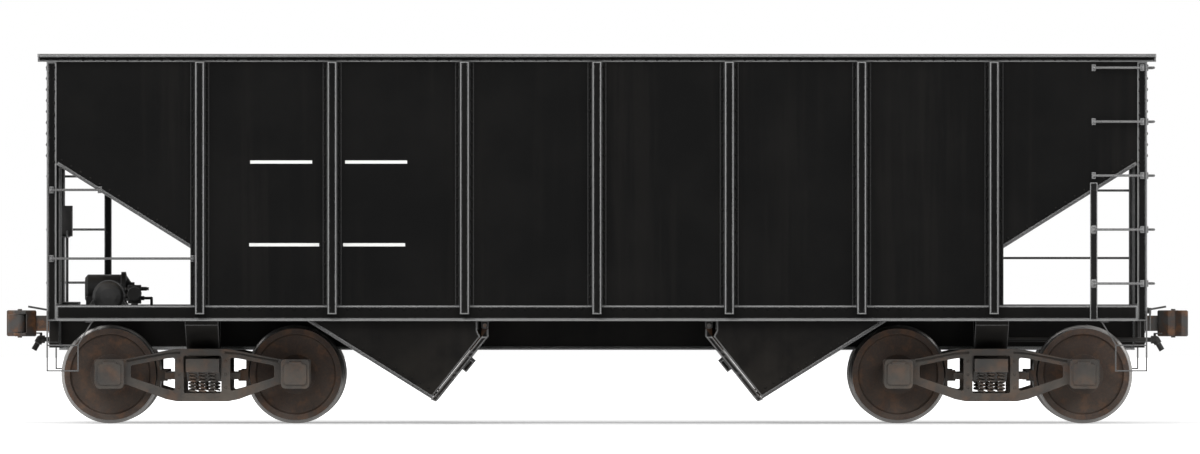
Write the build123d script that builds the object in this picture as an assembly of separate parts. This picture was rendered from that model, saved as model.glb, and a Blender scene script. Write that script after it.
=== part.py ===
from build123d import *

import math
import os

# Two-bay open hopper wagon with outside stakes, on two four-wheel bogies.
# Millimetres: X runs along the track, Z is up, and the origin lies on the floor under the middle of
# the wagon. The wheel flanges stand on the floor, so the rail top is one flange height above it.

# Running gear
TREAD_R = 419.0
FLANGE_HEIGHT = 26.0
RAIL = FLANGE_HEIGHT
AXLE_Z = RAIL + TREAD_R
WHEELBASE = 1676.0
BOGIE_INSET = 1395.0
WHEEL_BACK = 676.0
RIM_WIDTH = 140.0
FLANGE_WIDTH = 32.0
AXLE_R = 80.0
JOURNAL_R = 70.0
JOURNAL_GAP = 0.1
JOURNAL_REACH = 162.0
JOURNAL_MID = WHEEL_BACK + RIM_WIDTH + JOURNAL_REACH
FRAME_WIDTH = 130.0
CAST_ROUND = 18.0

# Body shell
STAKE_PITCH = 1192.0
STAKES_EACH_WAY = 3
END_BAY = 1379.0
BODY_HEIGHT = 2405.0
INSIDE_HALF = 1445.0
SHEET = 8.0
BAR = 10.0
SILL_BOTTOM = RAIL + 904.0
SILL_DEPTH = 138.0
SILL_FOOT = 92.0
TOP_Z = SILL_BOTTOM + BODY_HEIGHT
STAKE_DEPTH = 96.0
STAKE_FACE = 74.0
STAKE_BASE = 90.0
STAKE_FLANGE = 40.0
STAKE_TOE = 62.0
CHORD_LEG = 72.0
CHORD_FLANGE = 102.0
CHORD_OVERHANG = 80.0
BULB_R = 15.0
POST_LEG = 88.0
LAST_STAKE = STAKES_EACH_WAY * STAKE_PITCH
BODY_HALF = LAST_STAKE + END_BAY
BOGIE_X = BODY_HALF - BOGIE_INSET
TIE_LEG = 76.0
TIE_RISE = 420.0
GUSSET = (120.0, 160.0)

# Hoppers
TIP_X = 1448.0
TIP_Z = RAIL + 176.0
SLOPE = math.radians(32.0)
DOOR_LEAN = 0.8
DOOR_DEPTH = 50.0
DOOR_GAP = 6.0
DOOR_TOP = SILL_BOTTOM - 142.0
DOOR_RIB = 46.0
HINGE_X = TIP_X - 438.0
HINGE_Z = SILL_BOTTOM - 42.0
HINGE_R = 16.0
PIN_GAP = 0.5
STRAP = 14.0
RIDGE_Z = SILL_BOTTOM + 660.0
RIDGE_FOOT_X = HINGE_X + 55.0
RIDGE_FOOT_Z = SILL_BOTTOM + 14.0
HINGE_BEAM_BACK = HINGE_X + 70.0
HOOD_RISE = 210.0

# Underframe
CENTRE_SILL_BOTTOM = SILL_BOTTOM - 268.0
CENTRE_SILL_DEPTH = 330.0
SILL_WEB_Y = 163.5
SILL_FLANGE = 80.0
COVER = 8.0
END_SILL_WIDTH = 70.0
END_POST_Y = 250.0
END_POST_WIDTH = 80.0
BOLSTER_WIDTH = 300.0
PLATE_R = 150.0
BOLSTER_SKIN = 14.0
BOWL_GAP = 1.0
BOWL_RIM = 34.0
BOLSTER_TOP = RAIL + 580.0
PLATE_Z = BOLSTER_TOP + BOLSTER_SKIN
SIDE_BEARING_Y = 635.0
SIDE_BEARING_GAP = 6.0
MOVING_GAP = 6.0

# Safety fittings
ROUND_BAR = 11.0
GRAB_STAND = 62.0
RUNGS = 5
RUNG_FIRST = SILL_BOTTOM + 337.0
RUNG_LAST = TOP_Z - 124.0
RUNG_PITCH = (RUNG_LAST - RUNG_FIRST) / (RUNGS - 1)
LADDER_X = BODY_HALF - 481.0
LADDER_WIDTH = 66.0
LADDER_TOP = SILL_BOTTOM + 1246.0
END_LADDER_SPAN = 500.0
SHORT_GRAB_Z = SILL_BOTTOM + 1180.0
SHORT_GRAB_REACH = 434.0
LONG_GRAB_Z = SILL_BOTTOM + 562.0
STEP_DROP = 455.0
STEP_MID = 225.0
STEP_STRAP = 12.0
STEP_WIDTH = 50.0
STEP_RUN = 290.0
STEP_LEAN = 130.0

# Couplers
COUPLER_Z = RAIL + 876.0
SHANK_HALF = 62.0
SHANK_RISE = 70.0
COUPLER_PIVOT = BODY_HALF - 455.0
PULLING_FACE = BODY_HALF + 385.0
HEAD_HALF = 118.0
DRAFT_PIN_R = 24.0
KNUCKLE_X = PULLING_FACE - 105.0
KNUCKLE_Y = 118.0
KNUCKLE_PIN_R = 20.0
KNUCKLE_HALF = 80.0
STRIKER_HALF = 235.0

# Brake gear, all on the -X end
PLATFORM_X = (335.0 - BODY_HALF, 755.0 - BODY_HALF)
PLATFORM_BAR = 60.0
RESERVOIR_R = 140.0
RESERVOIR_LENGTH = 860.0
RESERVOIR_Y = -1180.0
CYLINDER_R = 130.0
BRAKE_WHEEL_R = 280.0
BRAKE_WHEEL_Y = 630.0
BRAKE_WHEEL_Z = SILL_BOTTOM + 950.0
PIPE_R = 21.0
PIPE_Y = 330.0
PIPE_Z = SILL_BOTTOM - 175.0
OUTLET_R = 25.0
OUTLET_ROOT = 40.0
OUTLET_END = 110.0
OUTLET_FALL = math.radians(60.0)
BRAKE_ROD_R = 14.0

SHEET_OUT = INSIDE_HALF + SHEET
BAR_OUT = SHEET_OUT + BAR
STAKE_OUT = SHEET_OUT + STAKE_DEPTH
POST_IN = BODY_HALF - POST_LEG
END_FACE = BODY_HALF - BAR
END_SHEET_X = END_FACE - SHEET
BRAKE_CASE_X = END_SHEET_X - 60.0
SILL_TOP = SILL_BOTTOM + SILL_DEPTH
CHORD_BOTTOM = TOP_Z - CHORD_LEG
CENTRE_SILL_TOP = CENTRE_SILL_BOTTOM + CENTRE_SILL_DEPTH
SILL_BOX_HALF = SILL_WEB_Y + BAR + SILL_FLANGE
CHUTE_IN = SILL_BOX_HALF + 17.0
ENDS = (-1, 1)
SIDES = (-1, 1)


def block(x, y, z):
    """A box from three (low, high) pairs."""
    low = (min(x), min(y), min(z))
    size = (abs(x[1] - x[0]), abs(y[1] - y[0]), abs(z[1] - z[0]))
    return Pos(*low) * Box(*size, align=(Align.MIN, Align.MIN, Align.MIN))


def prism(points, along, low, high):
    """A polygon pulled along X, Y or Z from low to high. Its points hold the other two coordinates."""
    place = {"X": lambda a, b: (low, a, b), "Y": lambda a, b: (a, low, b), "Z": lambda a, b: (a, b, low)}
    way = {"X": (1, 0, 0), "Y": (0, 1, 0), "Z": (0, 0, 1)}[along]
    face = make_face(Polyline(*[place[along](a, b) for a, b in points], close=True))
    return extrude(face, amount=high - low, dir=way)


def rod(start, end, radius):
    """A round bar between two points."""
    run = Vector(*end) - Vector(*start)
    return Plane(origin=start, z_dir=run) * Cylinder(
        radius, run.length, align=(Align.CENTER, Align.CENTER, Align.MIN)
    )


def at_end(shape, end):
    """The shape as built for the +X end, or its mirror at the other one."""
    return shape if end > 0 else shape.mirror(Plane.YZ)


def at_side(shape, side):
    return shape if side > 0 else shape.mirror(Plane.XZ)


def quarter_turn(shape, end):
    """The shape as built for the +X end, or turned half a turn about Z for the other one."""
    return shape if end > 0 else Rot(0, 0, 180) * shape


def both_ends(shape):
    return Compound([at_end(shape, end) for end in ENDS])


def four_corners(shape):
    return Compound([at_side(at_end(shape, end), side) for end in ENDS for side in SIDES])


def slope_z(x):
    """Height of the slope sheet's underside at a distance from the middle of the wagon."""
    return TIP_Z + (x - TIP_X) * math.tan(SLOPE)


def slope_x(z):
    return TIP_X + (z - TIP_Z) / math.tan(SLOPE)


def door_x(z, depth=0.0):
    """Outer face of a closed door at a height, or a plane that lies deeper in the hopper."""
    return TIP_X - (z - TIP_Z) * DOOR_LEAN + depth * math.hypot(1, DOOR_LEAN)


def ridge_skin():
    """Height that the ridge's sloping sheet takes up, measured straight down."""
    return SHEET / math.cos(math.atan2(RIDGE_Z - RIDGE_FOOT_Z, RIDGE_FOOT_X))


# Body sides
def side_sheet(side):
    low = SILL_BOTTOM + BAR
    sheet = prism(
        [
            (-END_SHEET_X, CHORD_BOTTOM + CHORD_LEG),
            (END_SHEET_X, CHORD_BOTTOM + CHORD_LEG),
            (END_SHEET_X, slope_z(END_SHEET_X)),
            (LAST_STAKE, slope_z(LAST_STAKE)),
            (LAST_STAKE, low),
            (-LAST_STAKE, low),
            (-LAST_STAKE, slope_z(LAST_STAKE)),
            (-END_SHEET_X, slope_z(END_SHEET_X)),
        ],
        "Y",
        INSIDE_HALF,
        SHEET_OUT,
    )
    return at_side(sheet, side)


def side_sill(side):
    """Angle with its upright leg on the sheet and its foot turned outwards."""
    angle = prism(
        [
            (SHEET_OUT, SILL_BOTTOM),
            (SHEET_OUT + SILL_FOOT, SILL_BOTTOM),
            (SHEET_OUT + SILL_FOOT, SILL_BOTTOM + BAR),
            (BAR_OUT, SILL_BOTTOM + BAR),
            (BAR_OUT, SILL_TOP),
            (SHEET_OUT, SILL_TOP),
        ],
        "X",
        -POST_IN,
        POST_IN,
    )
    return at_side(angle, side)


def stake():
    """Pressed hat-section stake, joggled over the sill's leg and under the chord."""
    face, base, rim = STAKE_FACE / 2, STAKE_BASE / 2, STAKE_BASE / 2 + STAKE_FLANGE
    deep = STAKE_DEPTH
    hat = [
        (-rim, 0), (-rim, SHEET), (-base, SHEET), (-face, deep), (face, deep), (base, SHEET), (rim, SHEET),
        (rim, 0), (base - SHEET, 0), (face - SHEET, deep - SHEET),
        (SHEET - face, deep - SHEET), (SHEET - base, 0),
    ]
    bar = prism([(x, SHEET_OUT + y) for x, y in hat], "Z", SILL_BOTTOM + STAKE_TOE, CHORD_BOTTOM)
    toe_z = SILL_BOTTOM + STAKE_TOE
    toe = prism(
        [(-base, BAR_OUT), (-face, STAKE_OUT), (face, STAKE_OUT), (base, BAR_OUT)], "Z", toe_z, toe_z + SHEET
    )
    joggle = block((-rim, rim), (SHEET_OUT, BAR_OUT), (toe_z, SILL_TOP))
    return bar + toe - joggle


def side_stakes(side):
    one = stake()
    places = range(-STAKES_EACH_WAY, STAKES_EACH_WAY + 1)
    return Compound([at_side(Pos(i * STAKE_PITCH, 0, 0) * one, side) for i in places])


def chord_profile(inner, flange):
    """Bulb angle: leg down on the sheet, flange outwards, round bulb along its edge."""
    outer = inner + flange
    section = [
        (inner, CHORD_BOTTOM),
        (inner + BAR, CHORD_BOTTOM),
        (inner + BAR, TOP_Z - BAR),
        (outer - BULB_R, TOP_Z - BAR),
        (outer - BULB_R, TOP_Z),
        (inner, TOP_Z),
    ]
    return section, (outer - BULB_R, TOP_Z - BULB_R)


def side_chord(side):
    section, (bulb_y, bulb_z) = chord_profile(SHEET_OUT, CHORD_FLANGE)
    length = BODY_HALF + CHORD_OVERHANG
    bulb = rod((-length, bulb_y, bulb_z), (length, bulb_y, bulb_z), BULB_R)
    return at_side(prism(section, "X", -length, length) + bulb, side)


def end_chords():
    section, (bulb_x, bulb_z) = chord_profile(END_FACE, CHORD_OVERHANG + BAR)
    half = SHEET_OUT
    bulb = rod((bulb_x, -half, bulb_z), (bulb_x, half, bulb_z), BULB_R)
    return both_ends(prism(section, "Y", -half, half) + bulb)


def corner_posts():
    leg = [
        (POST_IN, SHEET_OUT), (POST_IN, BAR_OUT), (BODY_HALF, BAR_OUT),
        (BODY_HALF, BAR_OUT - POST_LEG), (END_FACE, BAR_OUT - POST_LEG), (END_FACE, SHEET_OUT),
    ]
    return four_corners(prism(leg, "Z", SILL_BOTTOM, CHORD_BOTTOM))


# Ends and slope sheets
def end_sheets():
    return both_ends(
        block((END_SHEET_X, END_FACE), (-INSIDE_HALF, INSIDE_HALF), (slope_z(END_SHEET_X) - 60, TOP_Z))
    )


def slope_sheet(end):
    """Floor that falls from the end sheet to a hopper's lip, slotted where the centre sill passes."""
    lift = SHEET / math.cos(SLOPE)
    lip_x = slope_lip()[0]
    low, high = slope_z(lip_x), slope_z(END_SHEET_X)
    floor = prism(
        [(lip_x, low), (END_SHEET_X, high), (END_SHEET_X, high + lift), (lip_x, low + lift)],
        "Y",
        -INSIDE_HALF,
        INSIDE_HALF,
    )
    slot = block((0, slope_x(CENTRE_SILL_TOP + COVER)), (-CHUTE_IN, CHUTE_IN), (0, TOP_Z))
    return at_end(floor - slot, end)


def slope_lip():
    """Where the slope sheet's underside meets the plane that the closed door lies on."""
    run = DOOR_DEPTH + DOOR_GAP
    rise = (door_x(TIP_Z, run) - TIP_X) / (1 / math.tan(SLOPE) + DOOR_LEAN)
    return slope_x(TIP_Z + rise), TIP_Z + rise


def chute_outline(inset=0.0):
    """Side view of one hopper below the sill: sloping floor, door plane and hinge beam."""
    lip = slope_lip()
    top = SILL_BOTTOM + BAR + 60.0
    run = DOOR_DEPTH + DOOR_GAP
    return [
        (lip[0], lip[1] + inset),
        (slope_x(top), top),
        (HINGE_BEAM_BACK, top),
        (HINGE_BEAM_BACK, HINGE_Z - 40.0),
        (door_x(DOOR_TOP, run), DOOR_TOP),
    ]


def chute_sheets(end):
    """The two outer and two inner side sheets of one hopper, below the side sills."""
    outline = chute_outline()
    outer = prism(outline, "Y", INSIDE_HALF - SHEET, INSIDE_HALF)
    inner = prism(outline, "Y", CHUTE_IN - SHEET, CHUTE_IN)
    floor = slope_sheet(1)
    pair = Compound([outer - floor, inner - floor])
    return at_end(Compound([at_side(pair, side) for side in SIDES]), end)


def ridge_sheets():
    """Inverted V between the hoppers, slotted where its feet pass beside the centre sill."""
    foot_x, foot_z = RIDGE_FOOT_X, RIDGE_FOOT_Z
    outer = [(-foot_x, foot_z), (0, RIDGE_Z), (foot_x, foot_z)]
    thick = ridge_skin()
    under = [(x, z - thick) for x, z in reversed(outer)]
    ridge = prism(outer + under, "Y", -INSIDE_HALF, INSIDE_HALF)
    slot_x = foot_x * (RIDGE_Z - CENTRE_SILL_TOP - COVER - thick) / (RIDGE_Z - foot_z)
    for end in ENDS:
        ridge -= block((end * slot_x, end * 2 * foot_x), (-CHUTE_IN, CHUTE_IN), (0, TOP_Z))
    return ridge


def hold_profile():
    """Side view of the hold above its sheets, down to the hopper lips."""
    lift = SHEET / math.cos(SLOPE)
    lip_x, lip_z = slope_lip()
    half = [
        (END_SHEET_X, TOP_Z),
        (END_SHEET_X, slope_z(END_SHEET_X) + lift),
        (lip_x, lip_z + lift),
        (RIDGE_FOOT_X, RIDGE_FOOT_Z),
    ]
    return half + [(0, RIDGE_Z)] + [(-x, z) for x, z in reversed(half)]


def sill_hoods():
    """Roof-shaped hoods that shed the load off the centre sill, one in each hopper."""
    foot = CENTRE_SILL_TOP + COVER
    rise = HOOD_RISE
    skin = SHEET * math.hypot(1, rise / CHUTE_IN)
    roof = [
        (-CHUTE_IN, foot), (0, foot + rise), (CHUTE_IN, foot),
        (CHUTE_IN - skin, foot), (0, foot + rise - skin), (skin - CHUTE_IN, foot),
    ]
    hood = prism(roof, "X", 0, END_SHEET_X) & prism(hold_profile(), "Y", -CHUTE_IN, CHUTE_IN)
    return both_ends(Compound(hood.solids()))


def hinge_beams():
    """Pressed channel across each hopper's inner top edge, with lugs that hold the hinge pins."""
    top = RIDGE_FOOT_Z - ridge_skin()
    back = HINGE_BEAM_BACK
    outline = [
        (HINGE_X - 40.0, top), (back, top), (back, top - 82.0), (back - SHEET, top - 82.0),
        (back - SHEET, top - SHEET), (HINGE_X - 40.0, top - SHEET),
    ]
    beam = prism(outline, "Y", CHUTE_IN, INSIDE_HALF - SHEET)
    for y in hinge_lugs():
        lug = prism(
            [
                (HINGE_X - 30.0, HINGE_Z - 20.0), (HINGE_X + 30.0, HINGE_Z - 20.0),
                (HINGE_X + 30.0, top - SHEET), (HINGE_X - 30.0, top - SHEET),
            ],
            "Y", y - STRAP / 2, y + STRAP / 2,
        )
        lug += rod((HINGE_X, y - STRAP / 2, HINGE_Z), (HINGE_X, y + STRAP / 2, HINGE_Z), 30.0)
        beam += lug
    beam -= rod((HINGE_X, CHUTE_IN, HINGE_Z), (HINGE_X, INSIDE_HALF, HINGE_Z), HINGE_R)
    return four_corners(beam)


def hinge_lugs():
    """Places across the wagon of the lugs that hold a leaf's pin."""
    span = INSIDE_HALF - CHUTE_IN
    return [CHUTE_IN + share * span for share in (0.06, 0.33, 0.67, 0.94)]


def hinge_pins():
    reach = 0.5 * STRAP
    lugs = hinge_lugs()
    near, far = lugs[0] - reach, lugs[-1] + reach
    return four_corners(rod((HINGE_X, near, HINGE_Z), (HINGE_X, far, HINGE_Z), HINGE_R))


# Doors
def door_leaf():
    """Pressed pan with a turned hem, cross ribs and two hinge straps that reach up to the pin."""
    low, high, lip = TIP_Z, DOOR_TOP, TIP_Z + 20.0
    y0, y1 = CHUTE_IN - SHEET - 4.0, INSIDE_HALF + 4.0
    inner = [(door_x(lip, DOOR_DEPTH), lip), (door_x(high, DOOR_DEPTH), high)]
    outer = [(door_x(high, DOOR_DEPTH - SHEET), high), (door_x(lip, DOOR_DEPTH - SHEET), lip)]
    pan = prism(inner + outer, "Y", y0, y1)
    full = inner + [(door_x(high), high), (door_x(low), low)]
    for edge in (y0, y1 - SHEET):
        pan += prism(full, "Y", edge, edge + SHEET)
    for share in (0.0, 0.36, 0.68):
        z = low + share * (high - low)
        step = DOOR_RIB
        rib = [
            (door_x(z + 20.0, DOOR_DEPTH), z + 20.0), (door_x(z + step, DOOR_DEPTH), z + step),
            (door_x(z + step), z + step), (door_x(z), z),
        ]
        pan += prism(rib, "Y", y0, y1)
    lugs = hinge_lugs()
    for y in lugs:
        where = y + (STRAP + 2.0 if y < lugs[2] else -STRAP - 2.0)
        strap = prism(
            [
                (door_x(high - 160.0, DOOR_DEPTH), high - 160.0), (door_x(high, DOOR_DEPTH), high),
                (HINGE_X + 26.0, HINGE_Z), (HINGE_X - 26.0, HINGE_Z),
                (door_x(high), high), (door_x(high - 160.0), high - 160.0),
            ],
            "Y", where - STRAP / 2, where + STRAP / 2,
        )
        strap += rod((HINGE_X, where - STRAP / 2, HINGE_Z), (HINGE_X, where + STRAP / 2, HINGE_Z), 28.0)
        pan += strap
    return pan - rod((HINGE_X, 0, HINGE_Z), (HINGE_X, INSIDE_HALF + 50.0, HINGE_Z), HINGE_R + PIN_GAP)


def door_leaves(end):
    leaf = door_leaf()
    return at_end(Compound([at_side(leaf, side) for side in SIDES]), end)


def door_beam(end):
    """Channel that ties both leaves together under the centre sill."""
    z = TIP_Z + 0.5 * (DOOR_TOP - TIP_Z)
    web, deep, end_gap = 90.0, 46.0, 120.0
    face = [(door_x(z), z), (door_x(z + web), z + web)]
    lean = math.hypot(1, DOOR_LEAN)
    outer = [(x - deep / lean, y - deep * DOOR_LEAN / lean) for x, y in reversed(face)]
    beam = prism(face + outer, "Y", end_gap - INSIDE_HALF, INSIDE_HALF - end_gap)
    return at_end(beam, end)


# Underframe
def centre_sill():
    """Two channels with their flanges outwards under one cover plate, notched for the end sills."""
    half = END_FACE - END_SILL_WIDTH
    web_in, web_out, edge = SILL_WEB_Y, SILL_WEB_Y + BAR, SILL_BOX_HALF
    low, high, skin = CENTRE_SILL_BOTTOM, CENTRE_SILL_TOP, 14.0
    channel = [
        (web_in, low), (edge, low), (edge, low + skin), (web_out, low + skin),
        (web_out, high - skin), (edge, high - skin), (edge, high), (web_in, high),
    ]
    sill = prism(channel, "X", -half, half) + at_side(prism(channel, "X", -half, half), -1)
    return sill + block((-half, half), (-edge, edge), (high, high + COVER))


def end_sills():
    """Channel across each end, its web facing out."""
    low, high = SILL_BOTTOM, SILL_TOP
    back, skin = END_FACE - END_SILL_WIDTH, BAR
    channel = [
        (back, low), (END_FACE, low), (END_FACE, high), (back, high),
        (back, high - skin), (END_FACE - skin, high - skin),
        (END_FACE - skin, low + skin), (back, low + skin),
    ]
    sill = prism(channel, "Y", -SHEET_OUT, SHEET_OUT)
    mouth = block((back, BODY_HALF), (-SILL_WEB_Y, SILL_WEB_Y), (low, COUPLER_Z + SHANK_RISE + 12.0))
    return both_ends(sill - mouth)


def body_bolsters():
    """Tapered box arms from the centre sill to the side sheets, over a plate that carries the pivot."""
    half = BOLSTER_WIDTH / 2
    reach, root = INSIDE_HALF, SILL_BOX_HALF
    top = SILL_BOTTOM + 60.0
    arm = [
        (root, CENTRE_SILL_BOTTOM), (SIDE_BEARING_Y + 120.0, CENTRE_SILL_BOTTOM + 20.0),
        (reach, SILL_BOTTOM - 40.0), (reach, top), (root, top),
    ]
    under = CENTRE_SILL_BOTTOM - BOLSTER_SKIN
    parts = block((-half, half), (-root, root), (under, CENTRE_SILL_BOTTOM))
    for side in SIDES:
        arms = prism(arm, "X", -half, half)
        for face in ENDS:
            hollow = [
                (root + 30, CENTRE_SILL_BOTTOM + 40), (reach - 30, SILL_BOTTOM), (reach - 30, top - 14),
                (root + 30, top - 14),
            ]
            arms -= prism(hollow, "X", *sorted((face * 20.0, face * (half + 1))))
        arms += block(
            (-60, 60), (SIDE_BEARING_Y - 50, SIDE_BEARING_Y + 50), (under, CENTRE_SILL_BOTTOM + 40)
        )
        parts += at_side(arms, side)
    pivot = Pos(0, 0, PLATE_Z) * Cylinder(
        PLATE_R, under - PLATE_Z, align=(Align.CENTER, Align.CENTER, Align.MIN)
    )
    return both_ends(Pos(BOGIE_X, 0, 0) * (parts + pivot))


def bulkheads():
    """Upright plate from each bolster to the slope sheet above it."""
    low = SILL_BOTTOM + 60.0
    x0 = BOGIE_X - SHEET / 2
    plate = prism(
        [(x0, low), (x0 + SHEET, low), (x0 + SHEET, slope_z(x0 + SHEET)), (x0, slope_z(x0))], "Y",
        -INSIDE_HALF, INSIDE_HALF,
    )
    plate -= block((0, BODY_HALF), (-SILL_BOX_HALF, SILL_BOX_HALF), (0, CENTRE_SILL_TOP + COVER))
    hole_y, hole_z = (SILL_BOX_HALF + 166.5, INSIDE_HALF - 205.0), (low + 120.0, slope_z(x0) - 134.0)
    for side in SIDES:
        plate -= block((x0, x0 + SHEET), [side * y for y in hole_y], hole_z)
    return both_ends(plate)


def end_posts():
    """Channel posts that carry the overhanging end of each slope sheet from the end sill."""
    wide, deep = END_POST_WIDTH, 76.0
    posts = []
    for y in (-END_POST_Y, END_POST_Y):
        section = [
            (END_SHEET_X - deep, y - wide / 2), (END_SHEET_X, y - wide / 2), (END_SHEET_X, y + wide / 2),
            (END_SHEET_X - deep, y + wide / 2), (END_SHEET_X - deep, y + wide / 2 - SHEET),
            (END_SHEET_X - SHEET, y + wide / 2 - SHEET), (END_SHEET_X - SHEET, y - wide / 2 + SHEET),
            (END_SHEET_X - deep, y - wide / 2 + SHEET),
        ]
        bar = prism(section, "Z", SILL_TOP, slope_z(END_SHEET_X))
        above = [(0, slope_z(0)), (BODY_HALF, slope_z(BODY_HALF)), (BODY_HALF, TOP_Z), (0, TOP_Z)]
        over = prism(above, "Y", -INSIDE_HALF, INSIDE_HALF)
        sheet = block((END_SHEET_X, END_FACE), (-INSIDE_HALF, INSIDE_HALF), (0, TOP_Z))
        posts.append(bar - over - sheet)
    return both_ends(Compound(posts))


def cross_ties():
    """Angle ties across the hold between facing stakes, with a gusset at each end."""
    half, (wide, tall) = TIE_LEG / 2, GUSSET
    ties = []
    for i in (-2, 0, 2):
        x, z = i * STAKE_PITCH, RIDGE_Z + TIE_RISE
        angle = [
            (x - half, z), (x, z + half), (x + half, z),
            (x + half - BAR, z), (x, z + half - BAR), (x - half + BAR, z),
        ]
        tie = prism(angle, "Y", -INSIDE_HALF, INSIDE_HALF)
        for side in SIDES:
            wall = side * INSIDE_HALF
            gusset = [(wall, z + TIE_LEG), (wall, z - tall), (wall - side * wide, z)]
            tie += prism(gusset, "X", x - SHEET / 2, x + SHEET / 2)
        ties.append(tie)
    return Compound(ties)


# Bogies
def wheelset():
    """Two wheels and their axle, turned about Y at the origin."""
    back, face = WHEEL_BACK, WHEEL_BACK + RIM_WIDTH
    flange_r, tip = TREAD_R + FLANGE_HEIGHT, JOURNAL_MID + 126.0
    profile = [
        (0, 0), (AXLE_R, 0), (AXLE_R, back - 30), (132, back - 22), (132, back + 8), (180, back + 36),
        (320, back + 62), (362, back + 30), (370, back), (flange_r - 6, back), (flange_r, back + 10),
        (flange_r - 5, back + 22), (TREAD_R + 3, back + FLANGE_WIDTH), (TREAD_R - 4, face), (366, face),
        (350, face - 40), (300, back + 88), (180, back + 66), (136, back + 100), (130, face + 18),
        (AXLE_R + 6, face + 18), (AXLE_R + 6, face + 30), (JOURNAL_R, face + 46), (JOURNAL_R, tip - 12),
        (JOURNAL_R + 10, tip - 10), (JOURNAL_R + 10, tip), (0, tip),
    ]
    half = revolve(make_face(Polyline(*[(r, y, 0) for r, y in profile], close=True)), Axis.Y)
    return half + half.mirror(Plane.XZ)


def bogie_frame():
    """Cast side frame seen from the side: arched top member, sprung bottom member, two window holes."""
    axle = WHEELBASE / 2
    half = [
        (0, RAIL + 650), (230, RAIL + 650), (330, RAIL + 632), (axle - 190, RAIL + 566),
        (axle - 130, RAIL + 556), (axle + 140, RAIL + 556), (axle + 140, RAIL + 330),
        (axle - 150, RAIL + 330), (330, RAIL + 196), (230, RAIL + 176), (0, RAIL + 176),
    ]
    outline = half + [(-x, z) for x, z in reversed(half[1:-1])]
    low, high = JOURNAL_MID - FRAME_WIDTH / 2, JOURNAL_MID + FRAME_WIDTH / 2
    frame = prism(outline, "Y", low, high)
    frame -= block((-170, 170), (low, high), (RAIL + 250, RAIL + 590))
    window = [
        (250, RAIL + 268), (330, RAIL + 288), (axle - 190, RAIL + 392),
        (axle - 190, RAIL + 500), (330, RAIL + 562), (250, RAIL + 570),
    ]
    pocket = [
        (200, RAIL + 605), (330, RAIL + 598), (axle - 150, RAIL + 524),
        (axle - 150, RAIL + 548), (330, RAIL + 615), (200, RAIL + 628),
    ]
    for end in ENDS:
        frame -= prism([(end * x, z) for x, z in window], "Y", low, high)
    frame = fillet(frame.edges().filter_by(Axis.Y), CAST_ROUND)
    for end in ENDS:
        frame -= prism([(end * x, z) for x, z in pocket], "Y", high - 30, high)
        x, face = end * axle, JOURNAL_MID + 150
        box = block((x - 128, x + 128), (low - 30, face), (AXLE_Z - 128, AXLE_Z + 136))
        box = fillet(box.edges().filter_by(Axis.Y), 40)
        lid = block((x - 104, x + 104), (face, face + 16), (AXLE_Z - 96, AXLE_Z + 100))
        lid = fillet(lid.edges().filter_by(Axis.Y), 30)
        lid = chamfer(lid.faces().sort_by(Axis.Y)[-1].edges(), 6)
        hinge = rod((x - 56, face + 4, AXLE_Z + 108), (x + 56, face + 4, AXLE_Z + 108), 14)
        frame += box + lid + hinge
        frame -= rod((x, low - 40, AXLE_Z), (x, JOURNAL_MID + 136, AXLE_Z), JOURNAL_R + JOURNAL_GAP)
        frame -= rod((x, JOURNAL_MID + 100, AXLE_Z), (x, JOURNAL_MID + 136, AXLE_Z), JOURNAL_R + 16)
    return frame


def spring_nests():
    """Coil springs between the side frame and the bolster's end, four in each window."""
    low, high, r, turns = RAIL + 250, RAIL + 440, 40.0, 6
    pitch = (high - low) / turns
    outline = [(0, low)]
    for i in range(turns):
        base = low + i * pitch
        outline += [(r - 9, base), (r, base + pitch * 0.25)]
        outline += [(r, base + pitch * 0.6), (r - 9, base + pitch * 0.85)]
    outline += [(r - 9, high), (0, high)]
    coil = revolve(make_face(Polyline(*[(x, 0, z) for x, z in outline], close=True)), Axis.Z)
    rows = [side * (JOURNAL_MID + shift) for side in SIDES for shift in (-46, 46)]
    return Compound([Pos(x, y, 0) * coil for x in (-88, 0, 88) for y in rows])


def bogie_bolster():
    """Cast beam from window to window, deepest under the bowl that takes the body's pivot."""
    reach = JOURNAL_MID + 105
    outline = [
        (reach, RAIL + 440), (reach, RAIL + 560), (JOURNAL_MID - 90, RAIL + 560),
        (JOURNAL_MID - 170, BOLSTER_TOP), (PLATE_R + 40, BOLSTER_TOP),
    ]
    under = [(300, RAIL + 350), (JOURNAL_MID - 140, RAIL + 440)]
    half = outline[::-1] + under[::-1]
    beam = prism(half + [(-y, z) for y, z in reversed(half)], "X", -150, 150)
    up = (Align.CENTER, Align.CENTER, Align.MIN)
    beam += Pos(0, 0, BOLSTER_TOP) * Cylinder(PLATE_R + BOWL_RIM, BOWL_RIM, align=up)
    beam -= Pos(0, 0, PLATE_Z) * Cylinder(PLATE_R + BOWL_GAP, BOWL_RIM, align=up)
    top = CENTRE_SILL_BOTTOM - BOLSTER_SKIN - SIDE_BEARING_GAP
    for side in SIDES:
        beam += block(
            (-70, 70), (side * (SIDE_BEARING_Y - 60), side * (SIDE_BEARING_Y + 60)), (BOLSTER_TOP - 20.0, top)
        )
        for y in (side * 330, side * 560, side * 760):
            beam -= rod((-151, y, RAIL + 490), (151, y, RAIL + 490), 44)
    return beam


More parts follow.
